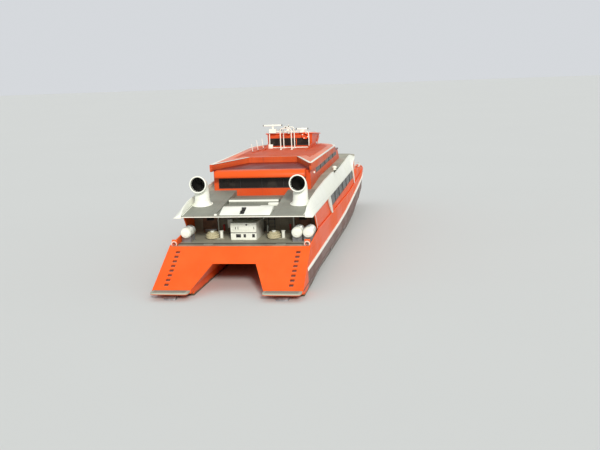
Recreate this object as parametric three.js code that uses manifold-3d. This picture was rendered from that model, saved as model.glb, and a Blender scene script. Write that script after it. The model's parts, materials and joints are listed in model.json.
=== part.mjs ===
// Twin-hulled passenger ferry at full size, afloat, in millimetres.
// X points forward, Y to port and Z up. The origin is on the centreline, at the waterline and amidships.
// Places along the boat are written as distances forward of the stern end, and named t.
import * as THREE from 'three';
import { mergeVertices } from 'three/addons/utils/BufferGeometryUtils.js';
import Module from 'manifold-3d';

const wasm = await Module();
wasm.setup();

// Driving dimensions
const LENGTH = 39900;
const STERN = -LENGTH / 2;
const GAP = 0.3;
const SEAT = 0.5;
const WALL = 80;
const GLASS = 25;
const DECK_Z = 2500;
const FOREDECK_Z = 3300;
const FOREDECK_T = 30000;
const BULWARK = 110;
const SIDE_Y = 4830;
const CABIN_AFT_T = 10100;
const CABIN_END_T = 30900;
const UPPER_AFT_T = 12550;
const UPPER_SIDE_Y = 3750;
const UPPER_FLOOR_Z = 4950;
const UPPER_CEILING_Z = 6850;
const LOW_ROOF_Z = 6970;
const CROWN_Z = 7400;
const FORE_ROOF_T = 28000;
const FORE_ROOF_Z = 5960;
const ROOF_EDGE_T = 5850;
const ROOF_HALF = 4410;
const ROOF_THICK = 130;
const WELL_HALF = 2000;

// Colours and finishes
const paint = (name, color, roughness = 0.45, metalness = 0) =>
  new THREE.MeshStandardMaterial({ name, color, roughness, metalness });
const ORANGE = paint('orange paint', 0xe8602c);
const DEEP_RED = paint('deep red paint', 0x7a2c20);
const WHITE = paint('white paint', 0xf2f3ee, 0.4);
const GREY = paint('grey deck paint', 0x9a978c, 0.8);
const GREEN_GREY = paint('green grey deck paint', 0x8c927f, 0.8);
const DARK_GLASS = paint('dark glass', 0x2a2c2e, 0.08);
const DARK = paint('dark lining', 0x3a322c, 0.7);
const STEEL = paint('steel', 0x8a8d90, 0.4, 0.8);
const RUBBER_WHITE = paint('white fender', 0xeae8e0, 0.6);
const ROPE = paint('rope', 0xcabf98, 0.95);

const model = new THREE.Group();

// Basic tools for solids

const mirrored = (geometry) => {
  const copy = geometry.clone().applyMatrix4(new THREE.Matrix4().makeScale(1, -1, 1));
  const order = copy.index ? copy.index.array : copy.attributes.position.array.map((_, i) => i);
  const count = copy.index ? order.length : copy.attributes.position.count;
  const flipped = [];
  for (let i = 0; i < count; i += 3) {
    flipped.push(copy.index ? order[i] : i, copy.index ? order[i + 2] : i + 2,
      copy.index ? order[i + 1] : i + 1);
  }
  copy.setIndex(flipped);
  return copy;
};

const toSolid = (geometry) => {
  const bare = geometry.clone();
  bare.deleteAttribute('normal');
  bare.deleteAttribute('uv');
  const merged = mergeVertices(bare, 0.01);
  return new wasm.Manifold(new wasm.Mesh({
    numProp: 3,
    vertProperties: new Float32Array(merged.attributes.position.array),
    triVerts: new Uint32Array(merged.index.array),
  }));
};

const toGeometry = (solid) => {
  const mesh = solid.getMesh();
  const geometry = new THREE.BufferGeometry();
  geometry.setAttribute('position', new THREE.BufferAttribute(mesh.vertProperties, 3));
  geometry.setIndex(new THREE.BufferAttribute(mesh.triVerts, 1));
  geometry.computeVertexNormals();
  return geometry;
};

const join = (...pieces) => toGeometry(pieces.map(toSolid).reduce((all, one) => all.add(one)));
const cut = (body, ...tools) => toGeometry(tools.map(toSolid).reduce((rest, tool) => rest.subtract(tool),
  toSolid(body)));
const common = (one, other) => toGeometry(toSolid(one).intersect(toSolid(other)));

const box = (t0, t1, y0, y1, z0, z1) =>
  new THREE.BoxGeometry(t1 - t0, y1 - y0, z1 - z0)
    .translate(STERN + (t0 + t1) / 2, (y0 + y1) / 2, (z0 + z1) / 2);

const extrude = (points, depth) => new THREE.ExtrudeGeometry(
  new THREE.Shape(points.map(([a, b]) => new THREE.Vector2(a, b))), { depth, bevelEnabled: false });

// An outline in t and z, between two breadths
const sidePrism = (points, y0, y1) =>
  extrude(points, y1 - y0).rotateX(Math.PI / 2).translate(STERN, y1, 0);

// An outline in y and z, between two distances from the stern
const crossPrism = (points, t0, t1) => {
  const axes = new THREE.Matrix4().makeBasis(
    new THREE.Vector3(0, 1, 0), new THREE.Vector3(0, 0, 1), new THREE.Vector3(1, 0, 0));
  return extrude(points, t1 - t0).applyMatrix4(axes).translate(STERN + t0, 0, 0);
};

// An outline in t and y, between two heights
const planPrism = (points, z0, z1) => extrude(points, z1 - z0).translate(STERN, 0, z0);

// A body through closed loops of [t, y, z] points, capped at both ends
const loft = (loops, flat) => {
  const size = loops[0].length;
  const position = loops.flat().flatMap(([t, y, z]) => [STERN + t, y, z]);
  const index = [];
  loops.slice(1).forEach((_, i) => {
    for (let j = 0; j < size; j += 1) {
      const k = (j + 1) % size;
      const [a, b, c, d] = [i * size + j, i * size + k, (i + 1) * size + j, (i + 1) * size + k];
      index.push(a, b, d, a, d, c);
    }
  });
  const area = (p) => p.reduce((sum, [x, y], i) => {
    const [u, v] = p[(i + 1) % p.length];
    return sum + x * v - u * y;
  }, 0);
  const cap = (loop, base, forward) => {
    const outline = loop.map(flat);
    const turn = Math.sign(area(outline)) * (forward ? 1 : -1);
    const faces = THREE.ShapeUtils.triangulateShape(outline.map(([a, b]) => new THREE.Vector2(a, b)), []);
    faces.forEach(([p, q, r]) => {
      const same = Math.sign(area([outline[p], outline[q], outline[r]])) === turn;
      index.push(base + p, base + (same ? q : r), base + (same ? r : q));
    });
  };
  cap(loops[0], 0, false);
  cap(loops[loops.length - 1], (loops.length - 1) * size, true);
  const at = (n) => new THREE.Vector3().fromArray(position, n * 3);
  let volume = 0;
  for (let i = 0; i < index.length; i += 3) {
    volume += at(index[i]).dot(at(index[i + 1]).cross(at(index[i + 2])));
  }
  const outward = volume > 0 ? index : index.map((_, i) => index[i - (i % 3) + [0, 2, 1][i % 3]]);
  const geometry = new THREE.BufferGeometry();
  geometry.setAttribute('position', new THREE.Float32BufferAttribute(position, 3));
  geometry.setIndex(outward);
  return geometry;
};
const acrossView = ([, y, z]) => [y, z];
const planView = ([t, y]) => [t, y];

const upright = (t, y, z0, z1, r0, r1 = r0, sides = 12) =>
  new THREE.CylinderGeometry(r1, r0, z1 - z0, sides).rotateX(Math.PI / 2)
    .translate(STERN + t, y, (z0 + z1) / 2);
const lengthwise = (t0, t1, y, z, r0, r1 = r0, sides = 16) =>
  new THREE.CylinderGeometry(r1, r0, t1 - t0, sides).rotateZ(-Math.PI / 2)
    .translate(STERN + (t0 + t1) / 2, y, z);
const crosswise = (y0, y1, t, z, r, sides = 14) =>
  new THREE.CylinderGeometry(r, r, y1 - y0, sides).translate(STERN + t, (y0 + y1) / 2, z);

// A pipe through [t, y, z] corners, rounded where a radius is given
const pipe = (corners, radius, bend = 0, sides = 6) => {
  const points = corners.map(([t, y, z]) => new THREE.Vector3(STERN + t, y, z));
  const path = new THREE.CurvePath();
  let from = points[0];
  points.slice(1, -1).forEach((corner, i) => {
    const before = corner.clone().sub(points[i]).normalize().multiplyScalar(bend);
    const after = points[i + 2].clone().sub(corner).normalize().multiplyScalar(bend);
    const start = corner.clone().sub(before);
    const end = corner.clone().add(after);
    path.add(new THREE.LineCurve3(from, start));
    path.add(new THREE.QuadraticBezierCurve3(start, corner, end));
    from = end;
  });
  path.add(new THREE.LineCurve3(from, points[points.length - 1]));
  const ring = new THREE.Shape();
  ring.absarc(0, 0, radius, 0, Math.PI * 2, false);
  const even = new THREE.CatmullRomCurve3(path.getSpacedPoints(corners.length * 6), false, 'centripetal');
  return new THREE.ExtrudeGeometry(ring, {
    steps: corners.length * 6, extrudePath: even, curveSegments: sides / 2, bevelEnabled: false,
  });
};

const bar = (from, to, radius, sides = 6) => {
  const a = new THREE.Vector3(STERN + from[0], from[1], from[2]);
  const b = new THREE.Vector3(STERN + to[0], to[1], to[2]);
  const direction = b.clone().sub(a);
  const turn = new THREE.Quaternion().setFromUnitVectors(
    new THREE.Vector3(0, 1, 0), direction.clone().normalize());
  return new THREE.CylinderGeometry(radius, radius, direction.length(), sides)
    .applyQuaternion(turn).translate(...a.add(b).multiplyScalar(0.5).toArray());
};

const place = (name, geometry, material) => {
  const mesh = new THREE.Mesh(geometry, material);
  mesh.name = name;
  model.add(mesh);
};
const placeBoth = (name, portGeometry, material) => {
  place(`${name}_port`, portGeometry, material);
  place(`${name}_starboard`, mirrored(portGeometry), material);
};

const mix = (a, b, f) => a + (b - a) * f;
const follow = (table, t, column) => {
  const next = Math.max(1, table.findIndex((row) => row.t >= t));
  const last = next > 0 && table.some((row) => row.t >= t) ? next : table.length - 1;
  const [a, b] = [table[last - 1], table[last]];
  return mix(a[column], b[column], (t - a.t) / (b.t - a.t));
};

// Hulls

// For each station: keel height; breadths of the inner side, waterline, chine and sheer; chine and sheer
// heights; and where the tunnel roof meets the hull
const STATIONS = [
  { t: 750, keel: -1250, breadths: [2400, 4980, 5030, 4950], heights: [520, 2650], tunnel: [1480, 1800] },
  { t: 4570, keel: -1480, breadths: [2400, 4900, 5030, 4950], heights: [600, 2670], tunnel: [1480, 1800] },
  { t: 8700, keel: -1600, breadths: [2400, 4720, 5030, 4950], heights: [760, 3100], tunnel: [1480, 1800] },
  { t: 18000, keel: -1600, breadths: [2420, 4680, 5030, 4950], heights: [950, 3100], tunnel: [1480, 1800] },
  { t: 26000, keel: -1600, breadths: [2550, 4600, 5030, 4950], heights: [1250, 3120], tunnel: [1480, 1800] },
  { t: 32000, keel: -1580, breadths: [2850, 4400, 5000, 4950], heights: [1700, 3420], tunnel: [1480, 1900] },
  { t: 36000, keel: -1400, breadths: [3200, 4150, 4850, 4940], heights: [2200, 3700], tunnel: [1480, 2350] },
  { t: 38000, keel: -700, breadths: [3500, 3980, 4600, 4860], heights: [2600, 3860], tunnel: [1900, 2700] },
  { t: 39200, keel: 900, breadths: [3650, 3850, 4150, 4600], heights: [3000, 3940], tunnel: [2900, 3150] },
  { t: 39900, keel: 3000, breadths: [3710, 3790, 3880, 4050], heights: [3560, 3960], tunnel: [3500, 3580] },
].map(({ t, keel, breadths, heights, tunnel }) => {
  const [inner, water, chine, sheer] = breadths;
  const [chineZ, sheerZ] = heights;
  const [edge, edgeZ] = tunnel;
  return { t, keel, inner, water, chine, sheer, chineZ, sheerZ, edge, edgeZ };
});
const KEEL_Y = 3740;
const INNER_Z = 570;
const BILGE_DEPTH = 0.62;

const hullSection = (s, grow = 0) => {
  const waterZ = Math.max(0, s.keel + 350);
  const innerZ = Math.max(INNER_Z, waterZ + 80);
  const bilgeZ = mix(waterZ, s.keel, BILGE_DEPTH);
  return [
    [s.t, s.edge - grow, s.sheerZ + grow],
    [s.t, s.edge - grow, s.edgeZ - grow],
    [s.t, s.inner - grow, innerZ],
    [s.t, s.inner + 30 - grow, waterZ],
    [s.t, mix(s.inner + 30, KEEL_Y, 0.35), bilgeZ],
    [s.t, KEEL_Y, s.keel],
    [s.t, mix(s.water, KEEL_Y, 0.3), bilgeZ],
    [s.t, s.water + grow, waterZ],
    [s.t, s.chine + grow, s.chineZ],
    [s.t, s.sheer + grow, s.sheerZ + grow],
  ];
};

const TRANSOM_FOOT = { t: 750, z: 570 };
const TRANSOM_TOP = { t: 4570, z: 2670 };
const JET_WALL_T = 1500;
const JET_ROOF_Z = 330;
const KERB = 200;
const onTransom = (z) => mix(TRANSOM_FOOT.t, TRANSOM_TOP.t,
  (z - TRANSOM_FOOT.z) / (TRANSOM_TOP.z - TRANSOM_FOOT.z));
const transomTurn = Math.atan2(TRANSOM_TOP.z - TRANSOM_FOOT.z, TRANSOM_TOP.t - TRANSOM_FOOT.t);

// Square footholds sunk in each transom, from near the top to near the foot
const FOOTHOLDS = {
  count: 8, topZ: 2370, footZ: 800, topY: 4190, footY: 4180, wide: 300, along: 280, deep: 60,
};
const foothold = (i) => {
  const { count, topZ, footZ, topY, footY, wide, along, deep } = FOOTHOLDS;
  const f = i / (count - 1);
  const [y, z] = [mix(topY, footY, f), mix(topZ, footZ, f)];
  const [forward, up] = [Math.cos(transomTurn), Math.sin(transomTurn)];
  const corner = (slope, out) => [onTransom(z) + slope * forward - out * up, z + slope * up + out * forward];
  return sidePrism([corner(-along / 2, -deep), corner(along / 2, -deep), corner(along / 2, deep),
    corner(-along / 2, deep)], y - wide / 2, y + wide / 2);
};

const hull = () => {
  const body = loft(STATIONS.map((s) => hullSection(s)), acrossView);
  const above = sidePrism([[-1000, TRANSOM_FOOT.z], [TRANSOM_FOOT.t, TRANSOM_FOOT.z],
    [TRANSOM_TOP.t, TRANSOM_TOP.z], [TRANSOM_TOP.t, 5000], [-1000, 5000]], 1000, 6000);
  const jetBay = sidePrism([[-1000, -3000], [JET_WALL_T, -3000], [JET_WALL_T, JET_ROOF_Z],
    [-1000, JET_ROOF_Z]], 1000, 6000);
  const deckEdge = (from, to) => STATIONS.filter((s) => s.t > from && s.t < to)
    .map((s) => [s.t, s.sheer - BULWARK]);
  const mainDeck = planPrism([[TRANSOM_TOP.t + KERB, 1000], [FOREDECK_T, 1000],
    [FOREDECK_T, 4950 - BULWARK], [TRANSOM_TOP.t + KERB, 4950 - BULWARK]], DECK_Z, 5000);
  const foreDeck = planPrism([[FOREDECK_T - 10, 1000], [39400, 1000], [39560, 3700], [39500, 4000],
    ...deckEdge(FOREDECK_T, 39300).reverse(), [FOREDECK_T - 10, 4950 - BULWARK]], FOREDECK_Z, 5000);
  return cut(body, above, jetBay, mainDeck, foreDeck,
    ...Array.from({ length: FOOTHOLDS.count }, (_, i) => foothold(i)));
};
// Stern corner bulwarks with mooring leads
const LEAD = { t0: 4790, t1: 5050, y0: 4490, y1: 4950 - BULWARK + 20, top: 3060, bore: 130 };
const sternLead = () => {
  const block = sidePrism([[LEAD.t0, DECK_Z - 20], [LEAD.t1, DECK_Z - 20], [LEAD.t1, LEAD.top],
    [LEAD.t0 + 120, LEAD.top], [LEAD.t0, LEAD.top - 240]], LEAD.y0, LEAD.y1);
  const middle = (LEAD.y0 + LEAD.y1) / 2;
  const rim = lengthwise(LEAD.t0 - 40, LEAD.t1, middle, 2780, LEAD.bore + 55, LEAD.bore + 55);
  return cut(join(block, rim), lengthwise(LEAD.t0 - 100, LEAD.t1 + 100, middle, 2780, LEAD.bore));
};
// Bitts on the aft and fore decks
const BITT = { apart: 340, high: 560, r: 115, capR: 150 };
const bitts = (t, y, z) => join(box(t - 190, t + 190, y - 560, y + 560, z - 20, z + 60),
  ...[-BITT.apart, BITT.apart].flatMap((off) => [
    upright(t, y + off, z + 50, z + BITT.high, BITT.r),
    upright(t, y + off, z + BITT.high - 20, z + BITT.high + 30, BITT.capR),
  ]));

// Waterjet housings with a fork for the steering nozzle
const JET = { y: 3720, z: -170, pinT: 900, bucketT: 640 };
const jetHousing = () => join(
  lengthwise(1440, JET_WALL_T + 20, JET.y, JET.z, 430), lengthwise(990, 1441, JET.y, JET.z, 150, 170),
  ...[-1, 1].map((side) => box(820, 1450, JET.y - 90, JET.y + 90, side > 0 ? JET.z + 375 : JET.z - 410,
    side > 0 ? JET.z + 410 : JET.z - 375)),
);
const STERN_BITTS = { t: 8100, port: 2500, starboard: 2050 };
const BOW_BITTS = { t: 36400, y: 2500 };
const fittedHull = (sternBittsY) => join(hull(), sternLead(), bitts(STERN_BITTS.t, sternBittsY, DECK_Z),
  bitts(BOW_BITTS.t, BOW_BITTS.y, FOREDECK_Z), jetHousing());
place('hull_port', fittedHull(STERN_BITTS.port), ORANGE);
place('hull_starboard', mirrored(fittedHull(STERN_BITTS.starboard)), ORANGE);

// Cross structure between the hulls, with the tunnel below it
const TUNNEL_HALF = 1480 - GAP;
const crossStructure = () => sidePrism([
  [onTransom(1800), 1800], [TRANSOM_TOP.t, TRANSOM_TOP.z], [TRANSOM_TOP.t + KERB, TRANSOM_TOP.z],
  [TRANSOM_TOP.t + KERB, DECK_Z], [FOREDECK_T, DECK_Z], [FOREDECK_T, FOREDECK_Z], [37300, FOREDECK_Z],
  [37500, 3150], [36000, 2350], [32000, 1900], [26000, 1800],
], -TUNNEL_HALF, TUNNEL_HALF);
place('cross_structure', crossStructure(), ORANGE);

// Stern steps over the waterjets
const STEP = { t0: 0, t1: TRANSOM_FOOT.t - GAP, y0: 2440, y1: 4980, z0: 400, z1: 545, corner: 220 };
const sternStep = () => planPrism([
  [STEP.t1, STEP.y0], [STEP.t1, STEP.y1], [STEP.t0 + STEP.corner, STEP.y1], [STEP.t0 + 60, STEP.y1 - 60],
  [STEP.t0, STEP.y1 - STEP.corner], [STEP.t0, STEP.y0 + STEP.corner], [STEP.t0 + 60, STEP.y0 + 60],
  [STEP.t0 + STEP.corner, STEP.y0],
], STEP.z0, STEP.z1);
placeBoth('stern_step', sternStep(), GREY);

// Fenders along the hull sides
const FENDER_LINE = [
  { t: 2950, z: 1430 }, { t: 4570, z: 1490 }, { t: 8700, z: 1590 }, { t: 18000, z: 1790 },
  { t: 22000, z: 1960 }, { t: 26000, z: 2260 }, { t: 32000, z: 2810 }, { t: 36000, z: 3180 },
  { t: 38000, z: 3330 }, { t: 38900, z: 3390 },
];
const FENDER = { high: 230, proud: 120, deep: 300 };
const sideBreadth = (t, z) => {
  const chine = follow(STATIONS, t, 'chine');
  const chineZ = follow(STATIONS, t, 'chineZ');
  return mix(chine, follow(STATIONS, t, 'sheer'), (z - chineZ) / (follow(STATIONS, t, 'sheerZ') - chineZ));
};
const fender = () => {
  const loops = FENDER_LINE.map(({ t, z }, i) => {
    const y = sideBreadth(t, z);
    const half = FENDER.high / 2;
    const proud = i === 0 || i === FENDER_LINE.length - 1 ? FENDER.proud * 0.4 : FENDER.proud;
    return [[t, y - FENDER.deep, z - half], [t, y + proud * 0.6, z - half], [t, y + proud, z - half * 0.4],
      [t, y + proud, z + half * 0.4], [t, y + proud * 0.6, z + half], [t, y - FENDER.deep, z + half]];
  });
  const grown = loft(STATIONS.map((s) => hullSection(s, GAP)), acrossView);
  return cut(loft(loops, acrossView), grown);
};
placeBoth('fender', fender(), RUBBER_WHITE);

// Main cabin

// Lower edge of the white fairing, which is the top of the side wall
const FAIRING = [
  { t: 5800, low: 4400, top: 4660, topY: 4500 }, { t: 6600, low: 4412, top: 5060, topY: 4500 },
  { t: 7750, low: 4434, top: 5320, topY: 4500 }, { t: 10750, low: 4493, top: 5580, topY: 4500 },
  { t: 14600, low: 4568, top: 5790, topY: 4500 }, { t: 18400, low: 4642, top: 5880, topY: 4500 },
  { t: 19300, low: 4659, top: 5840, topY: 4500 }, { t: 19900, low: 4671, top: 5600, topY: 4500 },
  { t: 26900, low: 4808, top: 5860, topY: 4500 }, { t: 28300, low: 4860, top: 5950, topY: 4500 },
  { t: 29900, low: 5620, top: 6040, topY: 4500 }, { t: 30800, low: 5800, top: 5990, topY: 4500 },
];
const fairing = () => loft(FAIRING.map(({ t, low, top, topY }) => [
  [t, ROOF_HALF, low], [t, 4950, low], [t, 4950, mix(low, top, 0.12)],
  [t, topY + 20, top - 15], [t, topY, top], [t, ROOF_HALF, top],
]), acrossView);
// Struts between the hull side and the fairing
const strutPlate = (points) => sidePrism(points, SIDE_Y + GLASS + 8, 4948);
const onSheer = (t) => [t, follow(STATIONS, t, 'sheerZ') + 1];
const AFT_STRUT = [onSheer(15600), onSheer(15100), [13800, 4000], [13150, 4560], [14400, 4600],
  [14850, 4100]];
const FORE_STRUT = [onSheer(30300), onSheer(30120), [28900, 4700], [29050, 5400], [29180, 5400],
  [29500, 4500]];

placeBoth('fairing', join(fairing(), strutPlate(AFT_STRUT), strutPlate(FORE_STRUT)), WHITE);

const WINDOW = { first: 15150, last: 29300, count: 6, post: 160, rake: 0.55 };
const sillZ = (t) => 3600 + (t - 17200) * 0.032;
const headZ = (t) => follow(FAIRING, t, 'low') - 90;
const raked = (t, z) => t - (z - 4100) * WINDOW.rake;
// Where the raked edge through t meets the line just below the fairing
const headPoint = (t) => {
  let z = headZ(t);
  for (let i = 0; i < 12; i += 1) z = mix(z, headZ(raked(t, z)), 0.6);
  return z;
};
const paneWide = (WINDOW.last - WINDOW.first) / WINDOW.count;
const paneOutline = (t0, t1, lift = 0) => {
  const corner = (t, z) => [raked(t, z), z];
  return [corner(t0, sillZ(t0) - lift), corner(t1, sillZ(t1) - lift),
    corner(t1, headPoint(t1) + lift), corner(t0, headPoint(t0) + lift)];
};
const sideWall = () => {
  const top = FAIRING.filter((s) => s.t > 7500 && s.t < 30500).map(({ t, low }) => [t, low - GAP]).reverse();
  const plate = sidePrism([
    [8950, DECK_Z + GAP], [FOREDECK_T - GAP, DECK_Z + GAP], [FOREDECK_T - GAP, FOREDECK_Z + GAP],
    [CABIN_END_T, FOREDECK_Z + GAP], [CABIN_END_T, 5800 - GAP], [30800, 5800 - GAP],
    ...top, [7450, follow(FAIRING, 7450, 'low') - GAP],
  ], SIDE_Y - WALL, SIDE_Y);
  const panes = Array.from({ length: WINDOW.count }, (_, i) => {
    const from = WINDOW.first + i * paneWide;
    return sidePrism(paneOutline(from + WINDOW.post / 2, from + paneWide - WINDOW.post / 2),
      SIDE_Y - WALL - 20, SIDE_Y + 20);
  });
  return cut(plate, ...panes);
};
placeBoth('side_wall', sideWall(), ORANGE);
const sideGlass = () => cut(
  sidePrism(paneOutline(WINDOW.first, WINDOW.last, 40), SIDE_Y + GAP, SIDE_Y + GLASS),
  fairing().translate(0, 0, -20),
);
placeBoth('side_glass', sideGlass(), DARK_GLASS);

// Aft roof: two ramps and a sunk middle
const RAMP_END_Z = 5380;
const WELL_END_Z = UPPER_FLOOR_Z;
const ROOF_EDGE_Z = 4570;
const roofEnd = UPPER_AFT_T - GAP;
const slab = (endZ, thick = ROOF_THICK) => [[ROOF_EDGE_T, ROOF_EDGE_Z - thick], [roofEnd, endZ - thick],
  [roofEnd, endZ], [ROOF_EDGE_T, ROOF_EDGE_Z]];
const CHEEK = 60;
const aftRoof = () => {
  const cheek = [[ROOF_EDGE_T, ROOF_EDGE_Z - ROOF_THICK], [roofEnd, WELL_END_Z - ROOF_THICK],
    [roofEnd, RAMP_END_Z], [ROOF_EDGE_T, ROOF_EDGE_Z]];
  return join(
    sidePrism(slab(RAMP_END_Z), WELL_HALF, ROOF_HALF - GAP),
    sidePrism(slab(RAMP_END_Z), -ROOF_HALF + GAP, -WELL_HALF),
    sidePrism(cheek, WELL_HALF, WELL_HALF + CHEEK),
    sidePrism(cheek, -WELL_HALF - CHEEK, -WELL_HALF),
    sidePrism(slab(WELL_END_Z), -WELL_HALF - 1, WELL_HALF + 1),
  );
};
const VENT_BOX = { t0: 9450, t1: 10250, half: 1850, z: 5110 };
const ventBox = () => sidePrism([[VENT_BOX.t0, 4700], [VENT_BOX.t1, 4760], [VENT_BOX.t1, VENT_BOX.z],
  [VENT_BOX.t0, VENT_BOX.z]], -VENT_BOX.half, VENT_BOX.half);
place('aft_roof', join(aftRoof(), ventBox()), GREEN_GREY);

// Room above the roof's underside, to cut what stands below it
const overRoof = (endZ, y0, y1) => sidePrism([[ROOF_EDGE_T, ROOF_EDGE_Z - ROOF_THICK - GAP],
  [roofEnd, endZ - ROOF_THICK - GAP], [roofEnd, 9000], [ROOF_EDGE_T, 9000]], y0, y1);
const DOOR = { y: 3500, wide: 900, high: 1880, sill: 120, thick: 50, lap: 60 };
const aftWall = () => {
  const inner = SIDE_Y - WALL - GAP;
  const plate = box(CABIN_AFT_T, CABIN_AFT_T + WALL, -inner, inner, DECK_Z + GAP, 5300);
  const doorway = (y) => box(CABIN_AFT_T - 50, CABIN_AFT_T + WALL + 50, y - DOOR.wide / 2, y + DOOR.wide / 2,
    DECK_Z + DOOR.sill, DECK_Z + DOOR.sill + DOOR.high);
  const wings = [-1, 1].map((side) => sidePrism([[9000, 4400], [11000, 4400], [11000, 9000], [9000, 9000]],
    side > 0 ? ROOF_HALF - GAP - 1 : -6000, side > 0 ? 6000 : -ROOF_HALF + GAP + 1));
  return cut(plate, doorway(DOOR.y), doorway(-DOOR.y), ...wings,
    overRoof(RAMP_END_Z, WELL_HALF + CHEEK, ROOF_HALF), overRoof(RAMP_END_Z, -ROOF_HALF, -WELL_HALF - CHEEK),
    overRoof(WELL_END_Z, -WELL_HALF - CHEEK - GAP, WELL_HALF + CHEEK + GAP));
};
place('aft_wall', aftWall(), DARK);

// Aft doors, hinged on their outer edges and opening aft, with a window in each
const aftDoor = () => {
  const [y0, y1] = [DOOR.y - DOOR.wide / 2 - DOOR.lap, DOOR.y + DOOR.wide / 2 + DOOR.lap];
  const [z0, z1] = [DECK_Z + DOOR.sill - 40, DECK_Z + DOOR.sill + DOOR.high + DOOR.lap];
  const face = CABIN_AFT_T - SEAT - DOOR.thick;
  const leaf = box(face, CABIN_AFT_T - SEAT, y0, y1, z0, z1);
  const pane = box(CABIN_AFT_T - 200, CABIN_AFT_T, DOOR.y - 260, DOOR.y + 260, z0 + 950, z1 - 220);
  const pins = [z0 + 260, z1 - 260].map((z) => upright(face, y1, z - 70, z + 70, 28));
  const handle = box(face - 60, face + 5, y0 + 70, y0 + 100,
    z0 + 880, z0 + 1060);
  return join(cut(leaf, pane), ...pins, handle);
};
placeBoth('aft_door', aftDoor(), ORANGE);

// Upper floor and side decks
const upperFloor = () => box(UPPER_AFT_T, 30800, -ROOF_HALF + GAP, ROOF_HALF - GAP, 4750, UPPER_FLOOR_Z);
place('upper_floor', upperFloor(), GREY);

const SIDE_DECK = [
  { t: UPPER_AFT_T, z: RAMP_END_Z }, { t: 17250, z: 5790 }, { t: FORE_ROOF_T + 10, z: FORE_ROOF_Z },
];
const sideDeck = () => sidePrism([
  ...SIDE_DECK.map(({ t, z }) => [t, z]), ...[...SIDE_DECK].reverse().map(({ t, z }) => [t, z - 120]),
], UPPER_SIDE_Y + GAP, ROOF_HALF - GAP);

const foreRoof = () => {
  const half = [[FORE_ROOF_T, ROOF_HALF - GAP], [CABIN_END_T, ROOF_HALF - GAP], [CABIN_END_T, 4880],
    [31500, 4800], [32100, 4200], [32400, 2900]];
  return planPrism([...half, ...half.map(([t, y]) => [t, -y]).reverse()], FORE_ROOF_Z - 150, FORE_ROOF_Z);
};
place('main_roof', join(foreRoof(), sideDeck(), mirrored(sideDeck())), GREY);

// Raked front of the main cabin, in facets
const FRONT_FOOT = [[CABIN_END_T + GAP, SIDE_Y], [31900, 4640], [33700, 2700], [34100, 1200]];
const FRONT_HEAD = [[CABIN_END_T + GAP, SIDE_Y], [31350, 4640], [31950, 2700], [32150, 1200]];
const FRONT_Z = { foot: FOREDECK_Z + GAP, head: FORE_ROOF_Z - 150 - GAP };
const frontLoop = (outline, inset, z) => {
  const half = outline.map(([t, y], i) => [t - (i > 0 ? inset : 0), y - inset, z]);
  return [...half, ...half.map(([t, y]) => [t, -y, z]).reverse()];
};
const frontShell = (outset) => loft([
  frontLoop(FRONT_FOOT, -outset, FRONT_Z.foot), frontLoop(FRONT_HEAD, -outset, FRONT_Z.head),
], planView);
const cabinFront = () => {
  const inner = loft([
    frontLoop(FRONT_FOOT, WALL * 1.3, FRONT_Z.foot - 1), frontLoop(FRONT_HEAD, WALL * 1.3, FRONT_Z.head + 1),
  ], planView).translate(-60, 0, 0);
  const open = box(CABIN_END_T - 400, CABIN_END_T + 60, -SIDE_Y + WALL, SIDE_Y - WALL, 3000, 6500);
  const panes = [[-4300, -3000], [-2500, -1350], [-1150, -60], [60, 1150], [1350, 2500], [3000, 4300]]
    .map(([y0, y1]) => box(31500, 35000, y0, y1, 4350, 5450));
  return cut(frontShell(0), inner, open, ...panes);
};
place('cabin_front', cabinFront(), ORANGE);
const frontGlass = () => common(cut(frontShell(GLASS), frontShell(GAP)),
  box(31300, 35000, -4500, 4500, 4300, 5500));
place('front_glass', frontGlass(), DARK_GLASS);

// Upper cabin
const UPPER_IN = UPPER_SIDE_Y - WALL;
const UPPER_FRONT = { foot: 28500, head: 27500 };
const upperSillZ = (t) => 6350 + (t - 15150) * 0.0165;
const upperSide = () => {
  const plate = sidePrism([
    [UPPER_AFT_T, UPPER_FLOOR_Z + GAP], [FORE_ROOF_T - GAP, UPPER_FLOOR_Z + GAP],
    [FORE_ROOF_T - GAP, FORE_ROOF_Z + GAP], [UPPER_FRONT.foot, FORE_ROOF_Z + GAP],
    [UPPER_FRONT.head, UPPER_CEILING_Z - GAP], [UPPER_AFT_T, UPPER_CEILING_Z - GAP],
  ], UPPER_IN, UPPER_SIDE_Y);
  const panes = Array.from({ length: 5 }, (_, i) => {
    const [t0, t1] = [15300 + i * 2280, 15300 + i * 2280 + 2130];
    return sidePrism([[t0, upperSillZ(t0)], [t1, upperSillZ(t1)], [t1 - 60, 6760], [t0 - 60, 6760]],
      UPPER_IN - 20, UPPER_SIDE_Y + 20);
  });
  return cut(plate, ...panes);
};
placeBoth('upper_side', upperSide(), ORANGE);
const upperSideGlass = () => sidePrism([[15200, upperSillZ(15200) - 40], [26650, upperSillZ(26650) - 40],
  [26500, 6800], [15150, 6800]], UPPER_SIDE_Y + GAP, UPPER_SIDE_Y + GLASS - 16);
placeBoth('upper_side_glass', upperSideGlass(), DARK_GLASS);

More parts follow.
